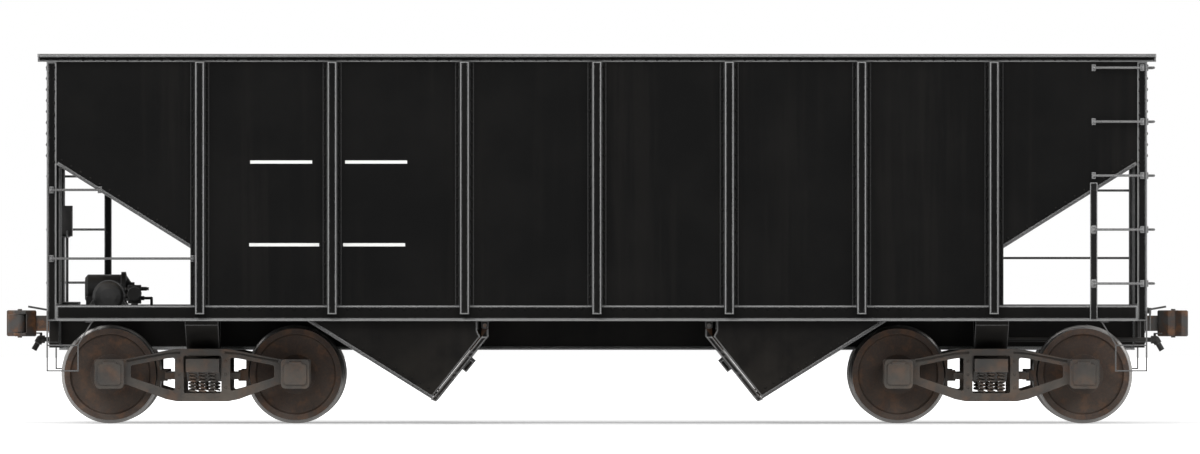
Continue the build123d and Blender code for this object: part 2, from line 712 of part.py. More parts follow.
def brake_beams():
    """A shoe against each wheel, on a beam that crosses the bogie inside the wheels."""
    axle = WHEELBASE / 2
    parts = []
    for end in ENDS:
        gap = 9.0
        x_shoe = axle - TREAD_R - gap
        beam = block((x_shoe - 130, x_shoe - 70), (-800, 800), (AXLE_Z - 45, AXLE_Z + 15))
        for side in SIDES:
            y0, y1 = sorted((side * (WHEEL_BACK + FLANGE_WIDTH + 6), side * (WHEEL_BACK + RIM_WIDTH - 12)))
            shoe = block((x_shoe - 90, axle - 200), (y0, y1), (AXLE_Z - 165, AXLE_Z + 135))
            shoe -= rod((axle, y0 - 1, AXLE_Z), (axle, y1 + 1, AXLE_Z), TREAD_R + gap)
            shoe -= block((x_shoe - 91, x_shoe - 20), (y0, y1), (AXLE_Z - 166, AXLE_Z - 60))
            shoe -= block((x_shoe - 91, x_shoe - 20), (y0, y1), (AXLE_Z + 40, AXLE_Z + 136))
            lug_y = sorted((side * 790, side * (JOURNAL_MID - FRAME_WIDTH / 2)))
            beam += shoe + block((x_shoe - 190, x_shoe - 70), lug_y, (AXLE_Z - 45, AXLE_Z + 15))
        strut = block((170, x_shoe - 130), (-18, 18), (AXLE_Z - 30, AXLE_Z + 10))
        parts.append(at_end(beam + strut, end))
    return Compound(parts)


def bogie(end, shape):
    return Pos(end * BOGIE_X, 0, 0) * shape


# Couplers and draft gear
def coupler_casting():
    """Head with its guard arm, and the shank that runs back to its pin, built for the +X end."""
    face = PULLING_FACE
    neck = face - 250
    z0, z1 = COUPLER_Z - SHANK_RISE, COUPLER_Z + SHANK_RISE
    up = (Align.CENTER, Align.CENTER, Align.MIN)
    shank = block((COUPLER_PIVOT, neck + 20), (-SHANK_HALF, SHANK_HALF), (z0, z1))
    shank += Pos(COUPLER_PIVOT, 0, z0) * Cylinder(SHANK_HALF, z1 - z0, align=up)
    outline = [
        (neck, -90), (neck + 90, -150), (face - 96, -150), (face - 40, -196), (face + 14, -190),
        (face + 24, -150), (face - 70, -96), (face - 120, -40), (face - 130, 62), (face - 50, 62),
        (face - 50, 172), (neck + 90, 172), (neck, 90),
    ]
    head = prism(outline, "Z", COUPLER_Z - HEAD_HALF, COUPLER_Z + HEAD_HALF)
    head = fillet(head.edges().filter_by(Axis.Z), 14)
    for i in (0, -1):
        head = chamfer(head.faces().sort_by(Axis.Z)[i].edges(), 10)
    casting = shank + head
    pocket = KNUCKLE_HALF + MOVING_GAP
    casting -= block((KNUCKLE_X - 60, face), (KNUCKLE_Y - 57, face), (COUPLER_Z - pocket, COUPLER_Z + pocket))
    casting += rod(
        (KNUCKLE_X, KNUCKLE_Y, COUPLER_Z - HEAD_HALF - 12),
        (KNUCKLE_X, KNUCKLE_Y, COUPLER_Z + HEAD_HALF + 12),
        KNUCKLE_PIN_R,
    )
    return casting - rod((COUPLER_PIVOT, 0, z0 - 1), (COUPLER_PIVOT, 0, z1 + 1), DRAFT_PIN_R + PIN_GAP)


def knuckle():
    """Hooked jaw that turns on its upright pin: a hub, an arm forwards and a nose turned in."""
    spots = [((0, 0), 46), ((72, -22), 33), ((64, -92), 27)]
    low, high = COUPLER_Z - KNUCKLE_HALF, COUPLER_Z + KNUCKLE_HALF
    jaw = None
    for (a, ra), (b, rb) in zip(spots, spots[1:]):
        rings = [Pos(*a) * CenterArc((0, 0), ra, 0, 360), Pos(*b) * CenterArc((0, 0), rb, 0, 360)]
        link = extrude(make_face(make_hull(rings)), amount=high - low)
        jaw = link if jaw is None else jaw + link
    jaw = Pos(KNUCKLE_X, KNUCKLE_Y, low) * jaw
    bore = rod((KNUCKLE_X, KNUCKLE_Y, low), (KNUCKLE_X, KNUCKLE_Y, high), KNUCKLE_PIN_R + PIN_GAP)
    return jaw - bore


def strikers():
    """Casting round each coupler's mouth, with the sill that the shank rests over."""
    z0 = COUPLER_Z - SHANK_RISE
    back = END_FACE - END_SILL_WIDTH
    mouth = SILL_WEB_Y - 30.0
    wide, tall = (-STRIKER_HALF, STRIKER_HALF), (CENTRE_SILL_BOTTOM + 20, SILL_BOTTOM)
    casting = block((back, BODY_HALF + 12), wide, tall)
    casting = chamfer(casting.edges().filter_by(Axis.X).group_by(Axis.Z)[0], 50)
    casting -= block((back, BODY_HALF + 12), (-mouth, mouth), (z0 - MOVING_GAP, SILL_BOTTOM))
    lip = block((END_FACE, BODY_HALF + 12), (-STRIKER_HALF, STRIKER_HALF), (SILL_BOTTOM, SILL_TOP - 10))
    lip -= block((END_FACE, BODY_HALF + 12), (-mouth, mouth), (SILL_BOTTOM, COUPLER_Z + SHANK_RISE + 12))
    return both_ends(casting + lip)


def draft_gear():
    """Yoke pin, its carrier plate and the buffing block behind each coupler, inside the centre sill."""
    low, high = CENTRE_SILL_BOTTOM, CENTRE_SILL_TOP
    web = SILL_WEB_Y
    carrier = block((COUPLER_PIVOT - 420, END_FACE - END_SILL_WIDTH), (-web, web), (low, low + 14))
    carrier += rod((COUPLER_PIVOT, 0, low + 14), (COUPLER_PIVOT, 0, high), DRAFT_PIN_R)
    stop = (COUPLER_PIVOT - 400, COUPLER_PIVOT - SHANK_HALF - 12)
    carrier += block(stop, (-130, 130), (low + 14, high - 20))
    return both_ends(carrier)


def uncoupling_levers():
    """Bent rod from each corner step to the coupler's lock, in two brackets."""
    x, z, r = BODY_HALF + 26.0, SILL_BOTTOM + 92.0, 9.0
    y0 = -BAR_OUT + 30.0
    tip = (PULLING_FACE - 175, -60, COUPLER_Z + HEAD_HALF + 34)
    lever = bent_bar([(x, y0, z - 180), (x, y0, z), (x, -60, z), tip], r)
    for y in (-BAR_OUT + 150.0, -430.0):
        lever += block((BODY_HALF - BAR, x + r + 6), (y - 6, y + 6), (z - 26, z + 26))
    return Compound([quarter_turn(lever, end) for end in ENDS])


# Ladders, handholds and steps
def bent_bar(points, radius):
    """Round bar through points, with ball joints at its bends."""
    bar = None
    for a, b in zip(points, points[1:]):
        run = rod(a, b, radius)
        bar = run if bar is None else bar + run
    for p in points[1:-1]:
        bar += Pos(*p) * Sphere(radius)
    return bar


def side_grab(x0, x1, z, foot0, foot1):
    """Handhold along the -Y side, from two feet on faces at their own distances from the middle."""
    y = -(SHEET_OUT + GRAB_STAND)
    bar = bent_bar([(x0, -foot0, z), (x0, y, z), (x1, y, z), (x1, -foot1, z)], ROUND_BAR)
    for x, foot in ((x0, foot0), (x1, foot1)):
        bar += block((x - 18, x + 18), (-foot - 8, -foot), (z - 30, z + 30))
    return bar


def rung_heights():
    return [RUNG_FIRST + i * RUNG_PITCH for i in range(RUNGS)]


def side_ladders():
    """Stile from the side sill up to the sheet and five rungs to the corner post, right end of each side."""
    half = LADDER_WIDTH / 2
    low = SILL_BOTTOM + BAR
    ladder = block((LADDER_X - half, LADDER_X + half), (-BAR_OUT - BAR, -BAR_OUT), (low, LADDER_TOP))
    head = (LADDER_TOP - LADDER_WIDTH, LADDER_TOP)
    ladder += block((LADDER_X - half, LADDER_X + half), (-BAR_OUT, -SHEET_OUT), head)
    post = BODY_HALF - POST_LEG / 2
    for z in rung_heights():
        foot = BAR_OUT + BAR if z < LADDER_TOP else SHEET_OUT
        rung = side_grab(LADDER_X, post, z, foot, BAR_OUT)
        ladder = ladder + rung if z < LADDER_TOP else Compound([*ladder.solids(), rung])
    return Compound([quarter_turn(ladder, end) for end in ENDS])


def end_ladders():
    """Rungs across each end beside the side ladder, from the corner post to a stile on the end."""
    inner = -(BAR_OUT - END_LADDER_SPAN)
    outer = -(BAR_OUT - POST_LEG / 2)
    half = LADDER_WIDTH / 2
    x = BODY_HALF + GRAB_STAND
    stile = block((END_FACE, BODY_HALF), (inner - half, inner + half), (SILL_BOTTOM, CHORD_BOTTOM))
    for z in rung_heights():
        path = [(BODY_HALF, inner, z), (x, inner, z), (x, outer, z), (BODY_HALF, outer, z)]
        stile += bent_bar(path, ROUND_BAR)
        for y in (inner, outer):
            stile += block((BODY_HALF, BODY_HALF + 8), (y - 18, y + 18), (z - 30, z + 30))
    return Compound([quarter_turn(stile, end) for end in ENDS])


def side_handholds():
    """Short grab on the sheet and long one to the first stake, left end of each side."""
    post = -(BODY_HALF - POST_LEG / 2)
    rim = STAKE_BASE / 2 + STAKE_FLANGE / 2
    short = side_grab(post, post + SHORT_GRAB_REACH, SHORT_GRAB_Z, BAR_OUT, SHEET_OUT)
    long = side_grab(post, -(LAST_STAKE + rim), LONG_GRAB_Z, BAR_OUT, SHEET_OUT + SHEET)
    return Compound([quarter_turn(Compound([short, long]), end) for end in ENDS])


def corner_steps():
    """Strap step with two treads, hung from the side sill under each corner."""
    outer, inner, t = BODY_HALF, BODY_HALF - STEP_RUN, STEP_STRAP
    low, mid = SILL_BOTTOM - STEP_DROP, SILL_BOTTOM - STEP_MID
    foot = inner - STEP_LEAN
    wide = (BAR_OUT, BAR_OUT + STEP_WIDTH)
    step = block((outer - t, outer), wide, (low, SILL_BOTTOM + 90))
    for z in (low, mid):
        step += block((inner, outer), wide, (z, z + t))
    step += block((inner, inner + t), wide, (low, mid + t))
    lean = [(inner, mid + t), (inner + t, mid + t), (foot + t, SILL_BOTTOM), (foot, SILL_BOTTOM)]
    step += prism(lean, "Y", *wide)
    step += block((foot, foot + 70), wide, (SILL_BOTTOM - t, SILL_BOTTOM))
    return four_corners(step)


# Brake gear
def brake_platform():
    """Two channels across the wagon that carry the air gear."""
    low = CENTRE_SILL_TOP + COVER
    half, high = PLATFORM_BAR / 2, low + PLATFORM_BAR
    bars = []
    for x in PLATFORM_X:
        bar = block((x - half, x + half), (-SHEET_OUT, SHEET_OUT), (low, high))
        hollow = block((x - half + BAR, x + half), (-SHEET_OUT, SHEET_OUT), (low + BAR, high - BAR))
        bars.append(bar - hollow)
    return Compound(bars)


def platform_top():
    return CENTRE_SILL_TOP + COVER + PLATFORM_BAR


def air_reservoir():
    """Domed tank across the wagon in two saddles."""
    x, base = sum(PLATFORM_X) / 2, platform_top()
    span = (PLATFORM_X[0] - PLATFORM_BAR / 2, PLATFORM_X[1] + PLATFORM_BAR / 2)
    z, r, length, mid = base + RESERVOIR_R - 50.0, RESERVOIR_R, RESERVOIR_LENGTH, RESERVOIR_LENGTH / 2
    dome = [(0, 0), (r - 70, 8), (r - 24, 34), (r, 74)]
    band = [(r, mid - 10), (r + 8, mid - 10), (r + 8, mid + 10), (r, mid + 10)]
    profile = dome + band + [(a, length - b) for a, b in reversed(dome)]
    outline = Polyline(*[(a, b, 0) for a, b in profile], close=True)
    tank = Pos(x, RESERVOIR_Y, z) * revolve(make_face(outline), Axis.Y)
    for y in (RESERVOIR_Y + 100.0, RESERVOIR_Y + length - 100.0):
        strap = block(span, (y - 20, y + 20), (base, base + 12))
        seat = [(x - 170, base + 12), (x + 170, base + 12), (x + 120, z), (x - 120, z)]
        tank += strap + (prism(seat, "Y", y - 10, y + 10) - rod((x, y - 11, z), (x, y + 11, z), r))
    return tank


def brake_cylinder():
    """Ribbed cylinder lengthways on the platform, with its push rod and lever."""
    base, r = platform_top(), CYLINDER_R
    y, z = 560.0, base + r + 24.0
    back = PLATFORM_X[0] - 40.0
    front = back + 351.0
    shelf = base - PLATFORM_BAR
    profile = [
        (0, 0), (r - 30, 0), (r, 26), (r, 330), (r + 24, 330), (r + 24, 372), (r - 10, 380),
        (60, 420), (60, 450), (18, 450), (18, 560), (0, 560),
    ]
    outline = Polyline(*[(a, 0, b) for a, b in profile], close=True)
    body = Pos(back, y, z) * (Rot(0, 90, 0) * revolve(make_face(outline), Axis.Z))
    saddle = block((back + 10, back + 110), (y - 110, y + 110), (base, z))
    body += saddle - rod((back, y, z), (front, y, z), r - 1)
    body += block((front - 20, front + 20), (y - 120, y + 120), (shelf, z - r))
    body += block((PLATFORM_X[0] + PLATFORM_BAR / 2, front + 20), (y - 120, y + 120), (shelf, shelf + 12))
    body += block((back + 540, back + 580), (y - 360, y + 60), (z - 14, z + 14))
    return body


def control_valve():
    """Valve block beside the reservoir with its two round covers."""
    x, y, z = PLATFORM_X[1], 130.0, platform_top()
    valve = block((x - 30, x + 30), (y - 90, y + 90), (z, z + 20))
    valve += block((x - 60, x + 60), (y - 70, y + 70), (z + 20, z + 190))
    for way in SIDES:
        valve += rod((x, y + way * 70, z + 110), (x, y + way * 120, z + 110), 62)
    return valve


def hand_brake():
    """Gear case on a shelf angle from the end post to the corner post, with its chain rod."""
    x, y, z = -BRAKE_CASE_X, BRAKE_WHEEL_Y, BRAKE_WHEEL_Z
    case = block((x, x + 100), (y - 105, y + 105), (z - 190, z + 90))
    case = fillet(case.edges().filter_by(Axis.X), 40)
    case += rod((x - 20, y, z), (x, y, z), 50)
    low = z - 200.0
    wide = (END_POST_Y + END_POST_WIDTH / 2, SHEET_OUT)
    shelf = block((x, x + 60), wide, (low, low + BAR))
    shelf += block((x + 50, x + 60), wide, (low + BAR, low + 60))
    case += rod((x + 50, y, z - 190), (x + 50, y, SILL_TOP - 30), BRAKE_ROD_R)
    return case + (shelf - case)


def brake_wheel():
    """Six-spoke hand wheel."""
    hub = Rot(0, 90, 0) * (Torus(BRAKE_WHEEL_R, 13) + Cylinder(46, 34))
    for i in range(6):
        a = math.radians(60 * i)
        hub += rod((0, 0, 0), (0, BRAKE_WHEEL_R * math.cos(a), BRAKE_WHEEL_R * math.sin(a)), 11)
    return Pos(-BRAKE_CASE_X - 37.0, BRAKE_WHEEL_Y, BRAKE_WHEEL_Z) * hub


def brake_step():
    """Slotted footboard behind the end sill, under the hand wheel."""
    x0, y0, z, thick = 4.0 - END_FACE, BRAKE_WHEEL_Y - 300.0, SILL_TOP, 26.0
    board = block((x0, x0 + 230), (y0, y0 + 600), (z, z + thick))
    for i in range(4):
        y = y0 + 40.0 + i * 140.0
        board -= block((x0 + 40, x0 + 190), (y, y + 90), (z, z + thick))
    x = 50.0 - BRAKE_CASE_X
    return board - rod((x, BRAKE_WHEEL_Y, z), (x, BRAKE_WHEEL_Y, z + thick), BRAKE_ROD_R + 8)


def brake_pipes():
    """Air pipe from each bolster to its cock beside the coupler."""
    x0, x1, y, z = BOGIE_X + 20.0, BODY_HALF + 70.0, -PIPE_Y, PIPE_Z
    elbow, socket_r = (x1 + 40, y, z), PIPE_R + 14
    run, fall = math.cos(OUTLET_FALL), math.sin(OUTLET_FALL)
    pipe = rod((x0, y, z), (x1, y, z), PIPE_R)
    pipe += rod((x1 - 6, y, z), elbow, socket_r) + Pos(*elbow) * Sphere(socket_r)
    for length, r in ((OUTLET_ROOT, socket_r), (OUTLET_END, OUTLET_R)):
        pipe += rod(elbow, (elbow[0] + length * run, y, z - length * fall), r)
    pipe += rod((x1 + 30, y, z), (x1 + 30, y, z + 58), 12)
    pipe += block((x1 + 20, x1 + 96), (y - 9, y + 9), (z + 50, z + 62))
    for x, top in ((BOGIE_X + 560.0, z + 30), (END_FACE - 30.0, SILL_BOTTOM)):
        pipe += block((x - 14, x + 14), (y - 8, y + 8), (z, top))
    return Compound([quarter_turn(pipe, end) for end in ENDS])


NODES = {}


def add(name, shape):
    NODES[name] = shape


def main():
    for name, make in (
        ("side_sheets", side_sheet),
        ("side_sills", side_sill),
        ("side_stakes", side_stakes),
        ("side_chords", side_chord),
    ):
        add(name, Compound([solid for side in SIDES for solid in make(side).solids()]))
    add("end_chords", end_chords())
    add("corner_posts", corner_posts())
    add("end_sheets", end_sheets())
    add("ridge_sheets", ridge_sheets())
    add("sill_hoods", sill_hoods())
    add("hinge_beams", hinge_beams())
    add("hinge_pins", hinge_pins())
    add("centre_sill", centre_sill())
    add("end_sills", end_sills())
    add("body_bolsters", body_bolsters())
    add("bolster_bulkheads", bulkheads())
    add("end_posts", end_posts())
    add("cross_ties", cross_ties())
    add("strikers", strikers())
    add("draft_gear", draft_gear())
    add("uncoupling_levers", uncoupling_levers())
    add("side_ladders", side_ladders())
    add("end_ladders", end_ladders())
    add("side_handholds", side_handholds())
    add("corner_steps", corner_steps())
    add("brake_platform", brake_platform())
    add("air_reservoir", air_reservoir())
    add("brake_cylinder", brake_cylinder())
    add("control_valve", control_valve())
    add("hand_brake", hand_brake())
    add("brake_wheel", brake_wheel())
    add("brake_step", brake_step())
    add("brake_pipes", brake_pipes())
    frame = bogie_frame()
    frames = Compound([frame, frame.mirror(Plane.XZ)])
    axle = wheelset()
    for end, name in ((-1, "a"), (1, "b")):
        add(f"slope_sheet_{name}", slope_sheet(end))
        add(f"chute_sheets_{name}", chute_sheets(end))
        add(f"door_leaves_{name}", door_leaves(end))
        add(f"door_beam_{name}", door_beam(end))
        add(f"bogie_frames_{name}", bogie(end, frames))
        add(f"bogie_bolster_{name}", bogie(end, bogie_bolster()))
        add(f"bogie_springs_{name}", bogie(end, spring_nests()))
        add(f"bogie_brakes_{name}", bogie(end, brake_beams()))
        for place, way in (("outer", 1), ("inner", -1)):
            x = end * (BOGIE_X + way * WHEELBASE / 2)
            add(f"wheelset_{name}_{place}", Pos(x, 0, AXLE_Z) * axle)
        add(f"coupler_{name}", quarter_turn(coupler_casting(), end))
        add(f"knuckle_{name}", quarter_turn(knuckle(), end))
    os.makedirs("parts", exist_ok=True)
    for name, shape in NODES.items():
        export_step(shape, f"parts/{name}.step")


main()
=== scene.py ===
import math

import bmesh
import bpy
from mathutils import Matrix, Vector


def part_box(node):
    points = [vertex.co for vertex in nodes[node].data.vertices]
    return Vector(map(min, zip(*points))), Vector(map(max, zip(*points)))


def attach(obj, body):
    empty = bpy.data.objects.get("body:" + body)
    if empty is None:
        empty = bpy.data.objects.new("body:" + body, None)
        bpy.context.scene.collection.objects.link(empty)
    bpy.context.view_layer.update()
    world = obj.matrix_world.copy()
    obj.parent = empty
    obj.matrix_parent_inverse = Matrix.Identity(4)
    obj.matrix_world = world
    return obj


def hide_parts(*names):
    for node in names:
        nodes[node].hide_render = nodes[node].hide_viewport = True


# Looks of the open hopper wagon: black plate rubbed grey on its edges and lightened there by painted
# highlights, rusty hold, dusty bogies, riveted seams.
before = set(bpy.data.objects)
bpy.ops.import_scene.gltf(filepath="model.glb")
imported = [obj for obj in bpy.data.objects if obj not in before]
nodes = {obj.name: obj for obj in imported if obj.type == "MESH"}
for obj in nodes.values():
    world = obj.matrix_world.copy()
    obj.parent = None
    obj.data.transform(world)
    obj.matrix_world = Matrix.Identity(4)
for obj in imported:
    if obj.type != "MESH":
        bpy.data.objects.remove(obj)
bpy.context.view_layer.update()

SIDES = (-1, 1)
ENDS = (-1, 1)

# Body: side sill, chord, side and end faces, stakes
RAIL = 0.026
SILL_BOTTOM = RAIL + 0.904
SILL_TOP = SILL_BOTTOM + 0.138
CHORD_BOTTOM = 3.263
SIDE_FACE = 1.453
SIDE_INNER = 1.445
CORNER_OUT = 4.955
END_OUT = 4.945
STAKE_PITCH = 1.192
STAKE_RIM = 0.065

# Hold: slope sheets, ridge sheets, door leaves and chutes
SLOPE = math.tan(math.radians(32.0))
SLOPE_FOOT_X = 1.448
SLOPE_FOOT_Z = 0.202
RIDGE_TOP = 1.6
RIDGE_FALL = 0.6066
DOOR_LEAN = 0.8
DOOR_PLANE = 1.6685
CHUTE_FACE = 1.445

# Running gear
BOGIE_X = 3.56
HALF_WHEELBASE = 0.838
AXLE_HEIGHT = RAIL + 0.419
FRAME_FACE = 1.043
JOURNAL_MID = 0.978

# The four plain white bars of each side, as (left, right, height)
BAR_HALF = 0.0145
BAR_DEPTH = 0.002
BARS = (
    (-3.122, -2.564, 2.361),
    (-2.267, -1.709, 2.361),
    (-3.131, -2.501, 1.616),
    (-2.285, -1.727, 1.616),
)


# Shader helpers
def new_group(name, inputs, outputs):
    """Node group with float inputs {name: default} and outputs {name: socket type}."""
    group = bpy.data.node_groups.new(name, "ShaderNodeTree")
    for label, default in inputs.items():
        socket = group.interface.new_socket(name=label, in_out="INPUT", socket_type="NodeSocketFloat")
        socket.default_value = default
    for label, kind in outputs.items():
        group.interface.new_socket(name=label, in_out="OUTPUT", socket_type=kind)
    return group, group.nodes.new("NodeGroupInput"), group.nodes.new("NodeGroupOutput")


def connect(tree, value, socket):
    """Link an output to a socket, or set the socket to a plain value."""
    if isinstance(value, bpy.types.NodeSocket):
        tree.links.new(value, socket)
    else:
        socket.default_value = value


def maths(tree, operation, *values, clamp=False):
    node = tree.nodes.new("ShaderNodeMath")
    node.operation = operation
    node.use_clamp = clamp
    for i, value in enumerate(values):
        connect(tree, value, node.inputs[i])
    return node.outputs[0]


def hypotenuse(tree, a, b):
    squares = maths(tree, "ADD", maths(tree, "MULTIPLY", a, a), maths(tree, "MULTIPLY", b, b))
    return maths(tree, "SQRT", squares)


def beyond(tree, value, limit):
    """How far a coordinate lies past a limit on either side of the middle."""
    return maths(tree, "MAXIMUM", maths(tree, "SUBTRACT", maths(tree, "ABSOLUTE", value), limit), 0.0)


def ramp(tree, value, low, high):
    """0 below low, 1 above high and smooth between them. low may be the larger one."""
    node = tree.nodes.new("ShaderNodeMapRange")
    node.interpolation_type = "SMOOTHSTEP"
    connect(tree, value, node.inputs["Value"])
    flip = low > high if not isinstance(low, bpy.types.NodeSocket) else False
    connect(tree, high if flip else low, node.inputs["From Min"])
    connect(tree, low if flip else high, node.inputs["From Max"])
    node.inputs["To Min"].default_value = 1.0 if flip else 0.0
    node.inputs["To Max"].default_value = 0.0 if flip else 1.0
    return node.outputs["Result"]


def noise(tree, vector, scale, detail=4.0, roughness=0.55):
    node = tree.nodes.new("ShaderNodeTexNoise")
    node.inputs["Detail"].default_value = detail
    node.inputs["Roughness"].default_value = roughness
    connect(tree, scale, node.inputs["Scale"])
    tree.links.new(vector, node.inputs["Vector"])
    return node.outputs["Fac"]


def mix_value(tree, mask, under, over, kind="FLOAT"):
    node = tree.nodes.new("ShaderNodeMix")
    node.data_type = kind
    connect(tree, mask, node.inputs["Factor"])
    connect(tree, under, node.inputs["A"])
    connect(tree, over, node.inputs["B"])
    return node.outputs["Result"]


def mix_colour(tree, mask, under, over):
    return mix_value(tree, mask, under, over, "RGBA")


def object_position(tree):
    return tree.nodes.new("ShaderNodeTexCoord").outputs["Object"]


def axes_of(tree, vector):
    node = tree.nodes.new("ShaderNodeSeparateXYZ")
    tree.links.new(vector, node.inputs[0])
    return node.outputs


def stretched(tree, vector, x, y, z):
    node = tree.nodes.new("ShaderNodeMapping")
    node.inputs["Scale"].default_value = (x, y, z)
    tree.links.new(vector, node.inputs["Vector"])
    return node.outputs["Vector"]


def grey(value, warm=0.0):
    return (value * (1 + warm), value, value * (1 - warm), 1.0)


# Colours of dirt, rust and bare steel
DUST = (0.1, 0.087, 0.073, 1)
CAST_DUST = (0.15, 0.125, 0.1, 1)
WHEEL_DUST = (0.105, 0.086, 0.07, 1)
GRIME = (0.017, 0.0155, 0.014, 1)
OIL = (0.02, 0.018, 0.016, 1)
COAL = (0.018, 0.014, 0.012, 1)
BAR_WHITE = (0.92, 0.92, 0.9, 1)
BAR_SOILED = (0.5, 0.48, 0.45, 1)
RUST_SCALE = (0.04, 0.019, 0.011, 1)
RUST_BROWN = (0.1, 0.045, 0.02, 1)
RUST_ORANGE = (0.2, 0.085, 0.03, 1)
SCOURED_STEEL = (0.16, 0.145, 0.13, 1)
TREAD_STEEL = (0.3, 0.29, 0.28, 1)


# Shared effects
def make_edge_wear_and_highlight():
    """Mask of edges, partly rubbed paint and partly a painted highlight that lightens them (unbroken at a
    Reach of 1), and the rounded normal that makes a sharp edge catch light.
    """
    tree, inlet, outlet = new_group(
        "edge_wear_and_highlight",
        {"Width": 0.008, "Reach": 0.5, "Break": 9.0},
        {"Mask": "NodeSocketFloat", "Normal": "NodeSocketVector"},
    )
    rounded = tree.nodes.new("ShaderNodeBevel")
    rounded.samples = 6
    tree.links.new(inlet.outputs["Width"], rounded.inputs["Radius"])
    facing = tree.nodes.new("ShaderNodeVectorMath")
    facing.operation = "DOT_PRODUCT"
    tree.links.new(rounded.outputs["Normal"], facing.inputs[0])
    tree.links.new(tree.nodes.new("ShaderNodeNewGeometry").outputs["Normal"], facing.inputs[1])
    turned = maths(tree, "SUBTRACT", 1.0, facing.outputs["Value"])
    chipped = noise(tree, object_position(tree), inlet.outputs["Break"], 6.0, 0.65)
    kept = maths(tree, "SUBTRACT", 1.0, inlet.outputs["Reach"])
    threshold = maths(tree, "MULTIPLY", chipped, kept)
    low, high = maths(tree, "MULTIPLY", threshold, 0.2), maths(tree, "ADD", threshold, 0.02)
    tree.links.new(ramp(tree, turned, low, high), outlet.inputs["Mask"])
    tree.links.new(rounded.outputs["Normal"], outlet.inputs["Normal"])
    return tree


def make_settled_dust():
    """Dust on upward faces and in a band near the track, broken by noise."""
    tree, inlet, outlet = new_group(
        "settled_dust", {"Top": 0.6, "Low": 0.5, "Height": 1.1, "Scale": 3.0}, {"Mask": "NodeSocketFloat"}
    )
    position = object_position(tree)
    up = axes_of(tree, tree.nodes.new("ShaderNodeNewGeometry").outputs["Normal"])[2]
    lying = maths(tree, "MULTIPLY", ramp(tree, up, 0.2, 0.95), inlet.outputs["Top"])
    level = maths(tree, "DIVIDE", axes_of(tree, position)[2], inlet.outputs["Height"])
    near = maths(tree, "SUBTRACT", 1.0, level)
    thrown = maths(tree, "MULTIPLY", near, inlet.outputs["Low"], clamp=True)
    patchy = noise(tree, position, inlet.outputs["Scale"], 7.0, 0.6)
    amount = maths(tree, "MAXIMUM", lying, thrown)
    mask = maths(tree, "MULTIPLY", amount, ramp(tree, patchy, 0.25, 0.7), clamp=True)
    tree.links.new(mask, outlet.inputs["Mask"])
    return tree


def make_rain_streaks():
    """Upright runs of washed grime on a wall."""
    tree, inlet, outlet = new_group(
        "rain_streaks", {"Density": 9.0, "Amount": 0.5}, {"Mask": "NodeSocketFloat"}
    )
    position = object_position(tree)
    fine = noise(tree, stretched(tree, position, 1.0, 1.0, 0.035), inlet.outputs["Density"], 3.0, 0.7)
    broad = noise(tree, stretched(tree, position, 0.22, 0.22, 0.03), 9.0, 2.0, 0.5)
    runs = maths(tree, "MULTIPLY", fine, broad)
    mask = maths(tree, "MULTIPLY", ramp(tree, runs, 0.22, 0.42), inlet.outputs["Amount"], clamp=True)
    tree.links.new(mask, outlet.inputs["Mask"])
    return tree


def make_rolled_plate():
    """Height of hand-size dents and fine paint grain."""
    tree, inlet, outlet = new_group(
        "rolled_plate", {"Dents": 1.0, "Grain": 0.15, "Scale": 1.6}, {"Height": "NodeSocketFloat"}
    )
    position = object_position(tree)
    broad = noise(tree, position, inlet.outputs["Scale"], 3.0, 0.5)
    fine = noise(tree, position, 160.0, 2.0, 0.5)
    dents = maths(tree, "MULTIPLY", broad, inlet.outputs["Dents"])
    grain = maths(tree, "MULTIPLY", fine, inlet.outputs["Grain"])
    tree.links.new(maths(tree, "ADD", dents, grain), outlet.inputs["Height"])
    return tree


def make_hold_lining():
    """Mask of faces that the load rubs: in a range of Y over the ridge, in X, facing up, on a door leaf."""
    nowhere = -1.0
    tree, inlet, outlet = new_group(
        "hold_lining",
        {
            "Inside Y": nowhere, "Outside Y": nowhere, "Over Ridge": nowhere, "Inside X": nowhere,
            "Facing Up": 2.0, "Door Plane": 99.0,
        },
        {"Mask": "NodeSocketFloat"},
    )
    x, y, z = axes_of(tree, object_position(tree))
    along, aside = maths(tree, "ABSOLUTE", x), maths(tree, "ABSOLUTE", y)
    up = axes_of(tree, tree.nodes.new("ShaderNodeTexCoord").outputs["Normal"])[2]
    ridge = maths(tree, "MULTIPLY_ADD", along, RIDGE_FALL, z)
    door = maths(tree, "MULTIPLY_ADD", z, DOOR_LEAN, along)
    side = maths(tree, "LESS_THAN", aside, inlet.outputs["Inside Y"])
    side = maths(tree, "MULTIPLY", side, maths(tree, "GREATER_THAN", aside, inlet.outputs["Outside Y"]))
    side = maths(tree, "MULTIPLY", side, maths(tree, "GREATER_THAN", ridge, inlet.outputs["Over Ridge"]))
    end = maths(tree, "LESS_THAN", along, inlet.outputs["Inside X"])
    floor = maths(tree, "GREATER_THAN", up, inlet.outputs["Facing Up"])
    leaf = maths(tree, "GREATER_THAN", door, inlet.outputs["Door Plane"])
    walls = maths(tree, "MAXIMUM", side, end)
    mask = maths(tree, "MAXIMUM", walls, maths(tree, "MAXIMUM", floor, leaf))
    tree.links.new(mask, outlet.inputs["Mask"])
    return tree


